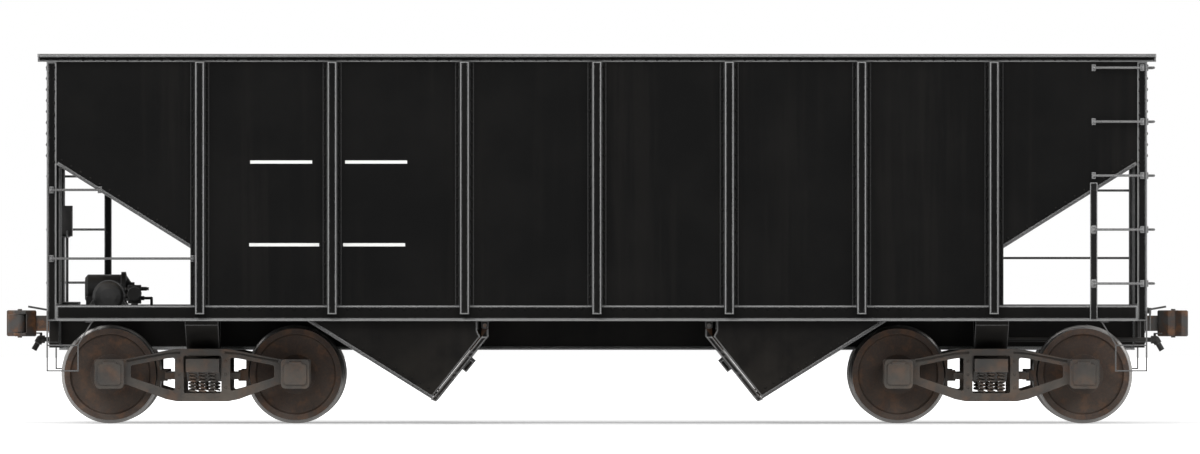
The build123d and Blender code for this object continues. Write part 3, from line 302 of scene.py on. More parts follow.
def make_rust():
    """Rust colour that shifts between dark scale and orange bloom."""
    tree, inlet, outlet = new_group(
        "rust_bloom", {"Scale": 6.0}, {"Color": "NodeSocketColor", "Mask": "NodeSocketFloat"}
    )
    position = object_position(tree)
    coarse = noise(tree, position, inlet.outputs["Scale"], 8.0, 0.62)
    fine = noise(tree, position, maths(tree, "MULTIPLY", inlet.outputs["Scale"], 7.0), 6.0, 0.6)
    scale_colour = mix_colour(tree, ramp(tree, fine, 0.35, 0.7), RUST_SCALE, RUST_BROWN)
    colour = mix_colour(tree, ramp(tree, coarse, 0.48, 0.72), scale_colour, RUST_ORANGE)
    tree.links.new(colour, outlet.inputs["Color"])
    tree.links.new(ramp(tree, coarse, 0.4, 0.6), outlet.inputs["Mask"])
    return tree


EDGE_WEAR_AND_HIGHLIGHT = make_edge_wear_and_highlight()
SETTLED_DUST = make_settled_dust()
RAIN_STREAKS = make_rain_streaks()
ROLLED_PLATE = make_rolled_plate()
HOLD_LINING = make_hold_lining()
RUST_BLOOM = make_rust()


# Materials
def place_group(tree, group, **values):
    node = tree.nodes.new("ShaderNodeGroup")
    node.node_tree = group
    for label, value in values.items():
        connect(tree, value, node.inputs[label.replace("_", " ")])
    return node.outputs


def start_material(name):
    material = bpy.data.materials.new(name)
    material.use_nodes = True
    tree = material.node_tree
    return material, tree, tree.nodes["Principled BSDF"]


def finish_surface(tree, shader, colour, roughness, metallic, normal, height, depth):
    bump = tree.nodes.new("ShaderNodeBump")
    bump.inputs["Strength"].default_value = 1.0
    bump.inputs["Distance"].default_value = depth
    tree.links.new(height, bump.inputs["Height"])
    tree.links.new(normal, bump.inputs["Normal"])
    tree.links.new(bump.outputs["Normal"], shader.inputs["Normal"])
    connect(tree, colour, shader.inputs["Base Color"])
    connect(tree, roughness, shader.inputs["Roughness"])
    connect(tree, metallic, shader.inputs["Metallic"])


def lettering_bars(tree):
    """Four plain white bars on the two left panels of each side, at the same place seen from either side."""
    x, y, z = axes_of(tree, object_position(tree))
    along = maths(tree, "MULTIPLY", x, maths(tree, "MULTIPLY", maths(tree, "SIGN", y), -1.0))
    mask = None
    for left, right, height in BARS:
        inside = maths(tree, "COMPARE", along, (left + right) / 2, (right - left) / 2)
        level = maths(tree, "COMPARE", z, height, BAR_HALF)
        bar = maths(tree, "MULTIPLY", inside, level)
        mask = bar if mask is None else maths(tree, "MAXIMUM", mask, bar)
    outer = maths(tree, "GREATER_THAN", maths(tree, "ABSOLUTE", y), SIDE_FACE - BAR_DEPTH)
    return maths(tree, "MULTIPLY", mask, outer)


STAKE_PROUD = (1.48, 1.5)
STAKE_FLANK = (1.485, 1.545)


def stake_edges(tree, rubbed_and_lit_edge):
    """Edges rubbed and lightened by a painted highlight on the stakes' proud face, and a painted highlight
    on the outer half of their flanks.
    """
    side = maths(tree, "ABSOLUTE", axes_of(tree, object_position(tree))[1])
    rubbed_and_lit_edge = maths(
        tree, "MULTIPLY", rubbed_and_lit_edge, mix_value(tree, ramp(tree, side, *STAKE_PROUD), 0.12, 1.0)
    )
    # Painted highlight: flanks that face along X are lightened towards the stake's outer face, as if they
    # caught the light.
    facing = axes_of(tree, tree.nodes.new("ShaderNodeNewGeometry").outputs["True Normal"])[0]
    flank = maths(tree, "GREATER_THAN", maths(tree, "ABSOLUTE", facing), 0.9)
    outer = maths(tree, "MULTIPLY", ramp(tree, side, *STAKE_FLANK), 0.65)
    return maths(tree, "MAXIMUM", rubbed_and_lit_edge, maths(tree, "MULTIPLY", flank, outer))


def load_lining(tree, lining, scour):
    """Masks of the lined and scoured places, and their colour of rust, coal and bare steel."""
    rubbed = place_group(tree, HOLD_LINING, **lining)["Mask"]
    rust = place_group(tree, RUST_BLOOM, Scale=2.2)["Color"]
    lines = noise(tree, stretched(tree, object_position(tree), *scour), 3.0, 5.0, 0.6)
    scoured = maths(tree, "MULTIPLY", rubbed, ramp(tree, lines, 0.45, 0.75))
    coal = maths(tree, "MULTIPLY", ramp(tree, lines, 0.62, 0.36), 0.75)
    metal = mix_colour(tree, coal, rust, COAL)
    return rubbed, scoured, mix_colour(tree, scoured, metal, SCOURED_STEEL)


# Stretch of the scoured lines: down the slope sheets, and down the upright walls
DOWN_SLOPE = (0.5, 6.0, 0.5)
DOWN_WALL = (6.0, 0.5, 0.4)


def painted(name, tone=0.0026, edge=0.3, width=0.012, reach=0.9, dust=0.3, low=0.1, streaks=0.2, dents=1.0,
            gloss=0.065, lining=None, scour=DOWN_SLOPE, bars=False, stakes=False):
    """Black paint, its edges lightened to grey by rubbing and by a painted highlight, with streaks and dust,
    and bare rust where the load rubs.
    """
    material, tree, shader = start_material(name)
    shader.inputs["Specular IOR Level"].default_value = gloss
    edges_worn_and_lit = place_group(tree, EDGE_WEAR_AND_HIGHLIGHT, Width=width, Reach=reach)
    powder = place_group(tree, SETTLED_DUST, Top=dust, Low=low)["Mask"]
    runs = place_group(tree, RAIN_STREAKS, Amount=streaks)["Mask"]
    plate = place_group(tree, ROLLED_PLATE, Dents=dents)["Height"]
    faded = noise(tree, object_position(tree), 1.3, 5.0, 0.6)
    colour = mix_colour(tree, ramp(tree, faded, 0.35, 0.75), grey(tone), grey(tone * 2.0, 0.04))
    colour = mix_colour(tree, runs, colour, GRIME)
    rubbed_and_lit_edge = stake_edges(tree, edges_worn_and_lit["Mask"]) if stakes else edges_worn_and_lit["Mask"]
    if bars:
        paint = mix_colour(tree, maths(tree, "MULTIPLY", runs, 0.5), BAR_WHITE, BAR_SOILED)
        colour = mix_colour(tree, lettering_bars(tree), colour, paint)
    # Edges go to the grey of edge: partly rubbed paint, partly a painted highlight; at a reach of 1 it is an
    # unbroken painted line along every edge.
    colour = mix_colour(tree, rubbed_and_lit_edge, colour, grey(edge))
    colour = mix_colour(tree, powder, colour, DUST)
    roughness = mix_value(tree, rubbed_and_lit_edge, mix_value(tree, powder, 0.5, 0.85), 0.6)
    metallic = 0.0
    if lining:
        rubbed, scoured, metal = load_lining(tree, lining, scour)
        colour = mix_colour(tree, rubbed, colour, metal)
        roughness = mix_value(tree, rubbed, roughness, mix_value(tree, scoured, 0.85, 0.5))
        metallic = maths(tree, "MULTIPLY", scoured, 0.5)
    finish_surface(tree, shader, colour, roughness, metallic, edges_worn_and_lit["Normal"], plate, 0.004)
    return material


def cast(name, tone, rust_share, dust=0.55, low=0.8, edge=0.14, width=0.009):
    """Rough cast steel, dusted and partly rusted."""
    material, tree, shader = start_material(name)
    edges_worn_and_lit = place_group(tree, EDGE_WEAR_AND_HIGHLIGHT, Width=width, Reach=0.55)
    powder = place_group(tree, SETTLED_DUST, Top=dust, Low=low, Height=1.0, Scale=5.0)["Mask"]
    rust = place_group(tree, RUST_BLOOM, Scale=7.0)
    skin = place_group(tree, ROLLED_PLATE, Dents=0.35, Grain=0.5, Scale=14.0)["Height"]
    rusted = maths(tree, "MULTIPLY", rust["Mask"], rust_share)
    colour = mix_colour(tree, rusted, grey(tone, 0.06), rust["Color"])
    # Edges lighter grey: partly rubbed steel, partly a painted highlight.
    colour = mix_colour(tree, edges_worn_and_lit["Mask"], colour, grey(edge, 0.08))
    colour = mix_colour(tree, powder, colour, CAST_DUST)
    roughness = mix_value(tree, edges_worn_and_lit["Mask"], mix_value(tree, powder, 0.6, 0.9), 0.5)
    finish_surface(tree, shader, colour, roughness, 0.0, edges_worn_and_lit["Normal"], skin, 0.003)
    return material


TREAD_RADIUS = (0.4145, 0.4165)
TREAD_OUTER = (0.812, 0.806)
HUB_RADIUS = (0.2, 0.12)


def wheel_steel():
    """Rusty forged wheels and axle, with bright treads and dark oily hubs, by distance from the axle."""
    material, tree, shader = start_material("rolled_wheel_steel")
    x, y, z = axes_of(tree, object_position(tree))
    along = maths(tree, "SUBTRACT", maths(tree, "ABSOLUTE", x), BOGIE_X)
    along = maths(tree, "SUBTRACT", maths(tree, "ABSOLUTE", along), HALF_WHEELBASE)
    radius = hypotenuse(tree, along, maths(tree, "SUBTRACT", z, AXLE_HEIGHT))
    side = maths(tree, "ABSOLUTE", y)
    edges_worn_and_lit = place_group(tree, EDGE_WEAR_AND_HIGHLIGHT, Width=0.006, Reach=0.5)
    rust = place_group(tree, RUST_BLOOM, Scale=9.0)
    powder = place_group(tree, SETTLED_DUST, Top=0.1, Low=0.5, Height=1.2, Scale=6.0)["Mask"]
    skin = place_group(tree, ROLLED_PLATE, Dents=0.2, Grain=0.4, Scale=20.0)["Height"]
    tread = maths(tree, "MULTIPLY", ramp(tree, radius, *TREAD_RADIUS), ramp(tree, side, *TREAD_OUTER))
    oily = maths(tree, "MULTIPLY", ramp(tree, radius, *HUB_RADIUS), 0.7)
    colour = mix_colour(tree, 0.6, grey(0.04, 0.05), rust["Color"])
    colour = mix_colour(tree, powder, colour, WHEEL_DUST)
    colour = mix_colour(tree, oily, colour, OIL)
    # Edges lighter grey: partly rubbed steel, partly a painted highlight.
    colour = mix_colour(tree, edges_worn_and_lit["Mask"], colour, grey(0.2, 0.06))
    colour = mix_colour(tree, tread, colour, TREAD_STEEL)
    roughness = mix_value(tree, tread, mix_value(tree, oily, 0.75, 0.4), 0.34)
    metallic = maths(tree, "MULTIPLY", tread, 0.9)
    finish_surface(tree, shader, colour, roughness, metallic, edges_worn_and_lit["Normal"], skin, 0.001)
    return material


# Places of the faces that the load rubs
SIDE_LINING = {"Inside_Y": 1.4475, "Over_Ridge": RIDGE_TOP}
END_LINING = {"Inside_X": 4.9385}
FLOOR_LINING = {"Facing_Up": 0.05}
CHUTE_LINING = {"Inside_Y": 1.441, "Outside_Y": 0.2665}
DOOR_LINING = {"Door_Plane": DOOR_PLANE}

# Each paint's edge grey is a painted highlight on its edges as well as rubbed paint; at a reach of 1 the
# highlight runs unbroken along every edge.
PAINT = {
    "side": painted(
        "side_plate_paint", width=0.018, reach=1.0, bars=True, lining=SIDE_LINING, scour=DOWN_WALL
    ),
    "wall": painted("end_plate_paint", width=0.018, lining=END_LINING),
    "slope": painted("hold_floor_paint", width=0.018, lining=FLOOR_LINING),
    "frame": painted("frame_member_paint", edge=0.39, width=0.026, reach=1.0, streaks=0.12, dents=0.3),
    "stake": painted(
        "stake_paint", edge=0.42, width=0.017, reach=1.0, streaks=0.12, dents=0.3, stakes=True
    ),
    "seam": painted("seam_bar_paint", edge=0.4, width=0.03, reach=1.0, streaks=0.3, dents=0.3),
    # The centre sill's pale edge grey is a painted highlight that shows its lower edge in the shade under
    # the body.
    "sill": painted(
        "centre_sill_paint", tone=0.005, edge=0.65, width=0.028, reach=1.0, dust=0.5, low=0.2, dents=0.3
    ),
    "under": painted("underframe_paint", tone=0.006, edge=0.2, width=0.014, dust=0.5, low=0.4, dents=0.3),
    "door": painted(
        "drop_door_paint", edge=0.3, width=0.022, reach=1.0, low=0.2, dents=0.5, lining=DOOR_LINING
    ),
    "chute": painted(
        "chute_sheet_paint", edge=0.3, width=0.022, reach=1.0, low=0.2, dents=0.5, lining=CHUTE_LINING,
        scour=DOWN_WALL,
    ),
    "rivet": painted(
        "rivet_head_paint", tone=0.006, edge=0.08, width=0.004, reach=0.7, streaks=0.0, dents=0.1
    ),
    "grip": painted(
        "rubbed_grip_paint", tone=0.03, edge=0.34, width=0.01, reach=1.0, dust=0.15, dents=0.1, gloss=0.3
    ),
    "ladder": painted(
        "ladder_bar_paint", tone=0.006, edge=0.42, width=0.016, reach=1.0, dust=0.15, streaks=0.1, dents=0.1,
        gloss=0.1,
    ),
    "step": painted(
        "step_strap_paint", tone=0.05, edge=0.2, width=0.01, reach=1.0, dust=0.2, dents=0.1, gloss=0.2
    ),
    "gear": painted(
        "brake_gear_paint", tone=0.012, edge=0.16, reach=0.7, dust=0.6, low=0.4, dents=0.1, gloss=0.25
    ),
}
CAST_FRAME = cast("bogie_cast_steel", 0.028, 0.35)
CAST_COUPLER = cast("coupler_cast_steel", 0.045, 0.8, dust=0.3, low=0.3, edge=0.2)
CAST_SHOE = cast("brake_beam_steel", 0.03, 0.6, dust=0.4)
HOLD_RUST = cast("hold_rivet_rust", 0.05, 0.9, low=0.2)
SPRING_STEEL = cast("coil_spring_steel", 0.03, 0.4, dust=0.3, edge=0.2, width=0.003)
PIN_STEEL = cast("hinge_pin_steel", 0.1, 0.5, dust=0.2, edge=0.3, width=0.003)
WHEEL_STEEL = wheel_steel()

FINISH = {
    PAINT["side"]: ["side_sheets"],
    PAINT["wall"]: ["end_sheets"],
    PAINT["slope"]: ["slope_sheet_a", "slope_sheet_b", "ridge_sheets", "sill_hoods"],
    PAINT["frame"]: ["side_sills", "side_chords", "end_chords", "corner_posts", "end_posts", "cross_ties"],
    PAINT["stake"]: ["side_stakes"],
    PAINT["sill"]: ["centre_sill"],
    PAINT["under"]: [
        "end_sills", "body_bolsters", "hinge_beams", "strikers", "draft_gear", "brake_platform",
        "bolster_bulkheads",
    ],
    PAINT["door"]: ["door_leaves_a", "door_leaves_b", "door_beam_a", "door_beam_b"],
    PAINT["chute"]: ["chute_sheets_a", "chute_sheets_b"],
    PAINT["grip"]: ["end_ladders", "side_handholds", "brake_wheel", "brake_step", "hand_brake"],
    PAINT["ladder"]: ["side_ladders"],
    PAINT["step"]: ["corner_steps", "uncoupling_levers"],
    PAINT["gear"]: ["air_reservoir", "brake_cylinder", "control_valve", "brake_pipes"],
    CAST_FRAME: ["bogie_frames_a", "bogie_frames_b", "bogie_bolster_a", "bogie_bolster_b"],
    CAST_COUPLER: ["coupler_a", "coupler_b", "knuckle_a", "knuckle_b"],
    CAST_SHOE: ["bogie_brakes_a", "bogie_brakes_b"],
    SPRING_STEEL: ["bogie_springs_a", "bogie_springs_b"],
    PIN_STEEL: ["hinge_pins"],
    WHEEL_STEEL: ["wheelset_a_outer", "wheelset_a_inner", "wheelset_b_outer", "wheelset_b_inner"],
}
for material, names in FINISH.items():
    for name in names:
        nodes[name].data.materials.clear()
        nodes[name].data.materials.append(material)


# Geometry Nodes helpers
def new_geometry_tree(name, source, sizes, result):
    """Geometry tree with a source, sizes {name: default}, a finish and a result."""
    tree = bpy.data.node_groups.new(name, "GeometryNodeTree")
    tree.interface.new_socket(name=source, in_out="INPUT", socket_type="NodeSocketGeometry")
    for label, default in sizes.items():
        socket = tree.interface.new_socket(name=label, in_out="INPUT", socket_type="NodeSocketFloat")
        socket.default_value = default
    tree.interface.new_socket(name="Finish", in_out="INPUT", socket_type="NodeSocketMaterial")
    tree.interface.new_socket(name=result, in_out="OUTPUT", socket_type="NodeSocketGeometry")
    return tree, tree.nodes.new("NodeGroupInput"), tree.nodes.new("NodeGroupOutput")


def finish_instances(tree, instances, inlet, outlet):
    """Make the instances real and smooth, in the tree's finish, and put them out."""
    real = tree.nodes.new("GeometryNodeRealizeInstances")
    tree.links.new(instances, real.inputs["Geometry"])
    smooth = tree.nodes.new("GeometryNodeSetShadeSmooth")
    tree.links.new(real.outputs["Geometry"], smooth.inputs["Geometry"])
    coat = tree.nodes.new("GeometryNodeSetMaterial")
    tree.links.new(smooth.outputs["Geometry"], coat.inputs["Geometry"])
    tree.links.new(inlet.outputs["Finish"], coat.inputs["Material"])
    tree.links.new(coat.outputs["Geometry"], outlet.inputs[0])


def add_piece(name, mesh, body):
    """New object at the origin that rides on a body."""
    piece = bpy.data.objects.new(name, mesh)
    bpy.context.scene.collection.objects.link(piece)
    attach(piece, body)
    return piece


def run_tree(name, source, tree, values, body):
    """Evaluate a geometry tree on a source mesh and keep the result as a plain mesh that rides on a body."""
    holder = bpy.data.objects.new(name + "_source", source)
    bpy.context.scene.collection.objects.link(holder)
    modifier = holder.modifiers.new("tree", "NODES")
    modifier.node_group = tree
    for item in tree.interface.items_tree:
        if item.item_type == "SOCKET" and item.in_out == "INPUT" and item.name in values:
            modifier[item.identifier] = values[item.name]
    bpy.context.view_layer.update()
    graph = bpy.context.evaluated_depsgraph_get()
    mesh = bpy.data.meshes.new_from_object(holder.evaluated_get(graph))
    mesh.name = name
    if "outward" in mesh.attributes:
        mesh.attributes.remove(mesh.attributes["outward"])
    bpy.data.objects.remove(holder)
    return add_piece(name, mesh, body)


# Geometry Nodes: rivet rows along edges that carry an outward direction
def make_rivet_tree():
    sizes = {"Pitch": 0.1, "Head Radius": 0.014, "Head Rise": 0.008}
    tree, inlet, outlet = new_geometry_tree("rivet_rows", "Rows", sizes, "Rivets")
    link = tree.links.new
    curve = tree.nodes.new("GeometryNodeMeshToCurve")
    link(inlet.outputs["Rows"], curve.inputs["Mesh"])
    spaced = tree.nodes.new("GeometryNodeResampleCurve")
    spaced.mode = "LENGTH"
    link(curve.outputs["Curve"], spaced.inputs["Curve"])
    link(inlet.outputs["Pitch"], spaced.inputs["Length"])
    ball = tree.nodes.new("GeometryNodeMeshUVSphere")
    ball.inputs["Segments"].default_value = 8
    ball.inputs["Rings"].default_value = 6
    link(inlet.outputs["Head Radius"], ball.inputs["Radius"])
    half = tree.nodes.new("GeometryNodeDeleteGeometry")
    half.domain = "FACE"
    link(ball.outputs["Mesh"], half.inputs["Geometry"])
    place = tree.nodes.new("GeometryNodeInputPosition")
    split = tree.nodes.new("ShaderNodeSeparateXYZ")
    link(place.outputs["Position"], split.inputs[0])
    below = tree.nodes.new("FunctionNodeCompare")
    below.operation = "LESS_THAN"
    below.inputs["B"].default_value = 0.0
    link(split.outputs["Z"], below.inputs["A"])
    link(below.outputs["Result"], half.inputs["Selection"])
    squashed = tree.nodes.new("GeometryNodeTransform")
    share = tree.nodes.new("ShaderNodeMath")
    share.operation = "DIVIDE"
    link(inlet.outputs["Head Rise"], share.inputs[0])
    link(inlet.outputs["Head Radius"], share.inputs[1])
    size = tree.nodes.new("ShaderNodeCombineXYZ")
    size.inputs[0].default_value = 1.0
    size.inputs[1].default_value = 1.0
    link(share.outputs[0], size.inputs[2])
    link(half.outputs["Geometry"], squashed.inputs["Geometry"])
    link(size.outputs[0], squashed.inputs["Scale"])
    outward = tree.nodes.new("GeometryNodeInputNamedAttribute")
    outward.data_type = "FLOAT_VECTOR"
    outward.inputs["Name"].default_value = "outward"
    turn = tree.nodes.new("FunctionNodeAlignRotationToVector")
    turn.axis = "Z"
    link(outward.outputs["Attribute"], turn.inputs["Vector"])
    heads = tree.nodes.new("GeometryNodeInstanceOnPoints")
    link(spaced.outputs["Curve"], heads.inputs["Points"])
    link(squashed.outputs["Geometry"], heads.inputs["Instance"])
    link(turn.outputs["Rotation"], heads.inputs["Rotation"])
    finish_instances(tree, heads.outputs["Instances"], inlet, outlet)
    return tree


def rows_mesh(rows):
    """One edge for each (start, end, outward) row."""
    points, edges, ways = [], [], []
    for start, end, way in rows:
        edges.append((len(points), len(points) + 1))
        points += [start, end]
        ways += [way, way]
    mesh = bpy.data.meshes.new("rows")
    mesh.from_pydata(points, edges, [])
    attribute = mesh.attributes.new("outward", "FLOAT_VECTOR", "POINT")
    for i, way in enumerate(ways):
        attribute.data[i].vector = way
    return mesh


def slope_z(x):
    """Height of the slope sheets' lower face."""
    return SLOPE_FOOT_Z + (abs(x) - SLOPE_FOOT_X) * SLOPE


def slope_x(z):
    return SLOPE_FOOT_X + (z - SLOPE_FOOT_Z) / SLOPE


# Rivet rows of the sides and ends
SHEET = 0.008
ROW_TOP = CHORD_BOTTOM - 0.05
CHORD_ROW = CHORD_BOTTOM + 0.022
SILL_ROW = SILL_TOP - 0.03
STAKE_ROW_LOW = SILL_TOP + 0.07
PANEL_MARGIN = 0.14
PANEL_REACH = 4.8
LEG_FACE = SIDE_FACE + 0.010
CORNER_X = 4.9
CORNER_ROW = CORNER_OUT - 0.066
CORNER_ROW_IN = SIDE_FACE - 0.05
RAKE_ENDS = (3.7, 4.82)
RAKE_LIFT = 0.065
END_ROW_HALF = 1.3
END_ROW_LIFT = 0.06
END_POST_Y = 0.25
END_POST_RIVET = 0.02
END_POST_ROW = (0.05, 0.13)


def side_rows():
    """Rivets of the stakes, chords, sills, corner posts and raked edges."""
    rows = []
    for side in SIDES:
        way = (0, side, 0)
        face = side * (SIDE_FACE + SHEET)
        leg = side * LEG_FACE
        plate = side * SIDE_FACE
        for i in range(-3, 4):
            for rim in (-STAKE_RIM, STAKE_RIM):
                x = i * STAKE_PITCH + rim
                rows.append(((x, face, STAKE_ROW_LOW), (x, face, ROW_TOP), way))
        for i in range(-4, 4):
            left = max(i * STAKE_PITCH + PANEL_MARGIN, -PANEL_REACH)
            right = min((i + 1) * STAKE_PITCH - PANEL_MARGIN, PANEL_REACH)
            rows.append(((left, leg, CHORD_ROW), (right, leg, CHORD_ROW), way))
            if -4 < i < 3:
                rows.append(((left, leg, SILL_ROW), (right, leg, SILL_ROW), way))
        for end in ENDS:
            x = end * CORNER_ROW
            rows.append(((x, leg, slope_z(CORNER_X)), (x, leg, ROW_TOP), way))
            low, high = ((end * x, plate, slope_z(x) + RAKE_LIFT) for x in RAKE_ENDS)
            rows.append((low, high, way))
    return rows


def end_rows():
    """Rivets down the sides and along the top of the end sheets, and at the end posts' heads."""
    rows = []
    foot = slope_z(CORNER_X)
    low, high = (foot + lift for lift in END_POST_ROW)
    for end in ENDS:
        way = (end, 0, 0)
        face = end * CORNER_OUT
        for side in SIDES:
            y = side * CORNER_ROW_IN
            rows.append(((face, y, foot + END_ROW_LIFT), (face, y, ROW_TOP), way))
        rows.append(((face, -END_ROW_HALF, CHORD_ROW), (face, END_ROW_HALF, CHORD_ROW), way))
        x = end * END_OUT
        for post in (-END_POST_Y, END_POST_Y):
            for y in (post - END_POST_RIVET, post + END_POST_RIVET):
                rows.append(((x, y, low), (x, y, high), way))
    return rows


# Rivet rows of the hoppers, end sills and hold
HOPPER_ROW_FOOT = 0.225
HOPPER_ROW_LIFT = 0.06
HOPPER_ROW_TOP = SILL_BOTTOM - 0.03
HOPPER_ROW_IN = (0.04, 0.09)
END_SILL_ROW = (0.32, 1.28)
END_SILL_MARGIN = 0.035
STRIKER_FACE = 4.967
STRIKER_ROWS = (0.19, 0.215)
STRIKER_Z = (SILL_BOTTOM - 0.2, SILL_BOTTOM + 0.09)
SLOPE_CLEAR = 0.06
RIDGE_CLEAR = 0.05
SLOPE_SEAMS = (3.02, 3.576, 4.25)
SLOPE_SEAM_HALF = 1.38


def hopper_rows():
    """Seams down the sloping edge of each outer chute sheet."""
    rows = []
    low_x = slope_x(HOPPER_ROW_FOOT) - HOPPER_ROW_IN[0]
    high_x = slope_x(HOPPER_ROW_TOP) - HOPPER_ROW_IN[1]
    for end in ENDS:
        for side in SIDES:
            y = side * CHUTE_FACE
            low = (end * low_x, y, HOPPER_ROW_FOOT + HOPPER_ROW_LIFT)
            rows.append((low, (end * high_x, y, HOPPER_ROW_TOP), (0, side, 0)))
    return rows


def sill_rows():
    """Rivets along both edges of the end sills and down both sides of the strikers."""
    rows = []
    inner, outer = END_SILL_ROW
    low, high = STRIKER_Z
    for end in ENDS:
        way = (end, 0, 0)
        x = end * END_OUT
        striker = end * STRIKER_FACE
        for side in SIDES:
            for z in (SILL_BOTTOM + END_SILL_MARGIN, SILL_TOP - END_SILL_MARGIN):
                rows.append(((x, side * inner, z), (x, side * outer, z), way))
            for y in STRIKER_ROWS:
                rows.append(((striker, side * y, low), (striker, side * y, high), way))
    return rows


def hold_rows():
    """Inner heads of the stake rivets, and the cross seams of the slope sheets."""
    rows = []
    lift = SHEET * math.hypot(1, SLOPE)
    rise = 1 / math.hypot(1, SLOPE)
    for side in SIDES:
        y = side * SIDE_INNER
        for i in range(-3, 4):
            for rim in (-STAKE_RIM, STAKE_RIM):
                x = i * STAKE_PITCH + rim
                ridge = RIDGE_TOP - abs(x) * RIDGE_FALL
                low = max(STAKE_ROW_LOW, slope_z(x) + SLOPE_CLEAR, ridge + RIDGE_CLEAR)
                rows.append(((x, y, low), (x, y, ROW_TOP), (0, -side, 0)))
    for end in ENDS:
        way = (-end * SLOPE * rise, 0, rise)
        for x in SLOPE_SEAMS:
            z = slope_z(x) + lift
            rows.append(((end * x, -SLOPE_SEAM_HALF, z), (end * x, SLOPE_SEAM_HALF, z), way))
    return rows


# Bolts of the ladders and handholds. A handhold foot is (x, seat, height)
BAR_OUT = 1.463
BAR_THICK = 0.01
FOOT_THICK = 0.008
BOLT_STAND = 0.0205
LADDER_TOP = 2.176
RUNG_HEIGHTS = (1.267, 1.753, 2.239, 2.725, 3.211)
STILE_X = 4.474
POST_FOOT_X = 4.911
END_FOOT_FACE = 4.963
END_FEET_Y = (0.963, 1.419)
HANDHOLD_FEET = (
    (POST_FOOT_X, BAR_OUT, 2.11),
    (4.477, SIDE_FACE, 2.11),
    (POST_FOOT_X, BAR_OUT, 1.492),
    (3.641, 1.461, 1.492),
)


def fitting_rows():
    """Two bolts through each foot of the ladders and handholds, above and below the bar."""
    feet = []
    for end in ENDS:
        way = (0, -end, 0)
        for z in RUNG_HEIGHTS:
            seat = SIDE_FACE if z > LADDER_TOP else BAR_OUT + BAR_THICK
            feet.append(((end * STILE_X, -end * (seat + FOOT_THICK), z), way))
            feet.append(((end * POST_FOOT_X, -end * (BAR_OUT + FOOT_THICK), z), way))
            for y in END_FEET_Y:
                feet.append(((end * END_FOOT_FACE, -end * y, z), (end, 0, 0)))
        for x, seat, z in HANDHOLD_FEET:
            feet.append(((-end * x, -end * (seat + FOOT_THICK), z), way))
    return [((x, y, z - BOLT_STAND), (x, y, z + BOLT_STAND), way) for (x, y, z), way in feet]


# Rivets of the bogies
WEAR_PLATE_X = 0.21
WEAR_PLATE_Z = (RAIL + 0.3, RAIL + 0.54)


def bogie_rows(end):
    """Rivets of the wear plates beside each side frame's bolster opening."""
    rows = []
    low, high = WEAR_PLATE_Z
    for x in (-WEAR_PLATE_X, WEAR_PLATE_X):
        for side in SIDES:
            along, face = end * BOGIE_X + x, side * FRAME_FACE
            rows.append(((along, face, low), (along, face, high), (0, side, 0)))
    return rows


RIVET_TREE = make_rivet_tree()
HEAD_RISE = 0.65
for name, rows, pitch, head, finish, body, slot in (
    ("side_rivets", side_rows(), 0.095, 0.014, PAINT["rivet"], "wagon", "body_paint"),
    ("end_rivets", end_rows(), 0.095, 0.014, PAINT["rivet"], "wagon", "body_paint"),
    ("hopper_rivets", hopper_rows(), 0.085, 0.012, PAINT["rivet"], "wagon", "body_paint"),
    ("sill_rivets", sill_rows(), 0.085, 0.012, PAINT["rivet"], "wagon", "body_paint"),
    ("hold_rivets", hold_rows(), 0.095, 0.014, HOLD_RUST, "wagon", "body_paint"),
    ("fitting_bolts", fitting_rows(), 2 * BOLT_STAND, 0.0085, PAINT["grip"], "wagon", "fittings_paint"),
    ("bogie_rivets_a", bogie_rows(-1), 0.08, 0.013, CAST_FRAME, "bogie_a", "bogie_castings"),
    ("bogie_rivets_b", bogie_rows(1), 0.08, 0.013, CAST_FRAME, "bogie_b", "bogie_castings"),
):
    run_tree(
        name, rows_mesh(rows), RIVET_TREE,
        {"Pitch": pitch, "Head Radius": head, "Head Rise": head * HEAD_RISE, "Finish": finish}, body,
    )


# Flat seam bars along the sloping edges of the side plates and hoppers
SEAM_WIDTH = 0.03
SEAM_THICK = 0.006
SEAM_CHAMFER = SEAM_THICK * 0.2


def bar_piece(name, runs, body, finish):
    """Chamfered flat bars in the XZ plane. A run is (start, end, side face); its bar lies above the line."""
    mesh = bmesh.new()
    for (x0, z0), (x1, z1), face in runs:
        out = SEAM_THICK if face > 0 else -SEAM_THICK
        along = Vector((x1 - x0, z1 - z0)).normalized()
        across = Vector((-along.y, along.x)) * SEAM_WIDTH * (1 if along.x > 0 else -1)
        flat = [(x0, z0), (x1, z1), (x1 + across.x, z1 + across.y), (x0 + across.x, z0 + across.y)]
        near = [mesh.verts.new((x, face, z)) for x, z in flat]
        far = [mesh.verts.new((x, face + out, z)) for x, z in flat]
        mesh.faces.new(near)
        mesh.faces.new(far)
        for i in range(4):
            mesh.faces.new((near[i], near[(i + 1) % 4], far[(i + 1) % 4], far[i]))
    bmesh.ops.recalc_face_normals(mesh, faces=mesh.faces)
    bmesh.ops.bevel(mesh, geom=list(mesh.edges), offset=SEAM_CHAMFER, segments=1, affect="EDGES")
    data = bpy.data.meshes.new(name)
    mesh.to_mesh(data)
    mesh.free()
    data.materials.append(finish)
    add_piece(name, data, body)


def seam_runs(x0, x1, face):
    """The same sloping run at both ends of both sides."""
    return [
        ((end * x0, slope_z(x0)), (end * x1, slope_z(x1)), side * face) for end in ENDS for side in SIDES
    ]


RAKED_EDGES = seam_runs(3 * STAKE_PITCH + 0.087, 4.866, SIDE_FACE)
HOPPER_EDGES = seam_runs(1.49, 2.6, CHUTE_FACE)
bar_piece("slope_seam_bars", RAKED_EDGES, "wagon", PAINT["seam"])
bar_piece("hopper_seam_bars", HOPPER_EDGES, "wagon", PAINT["seam"])


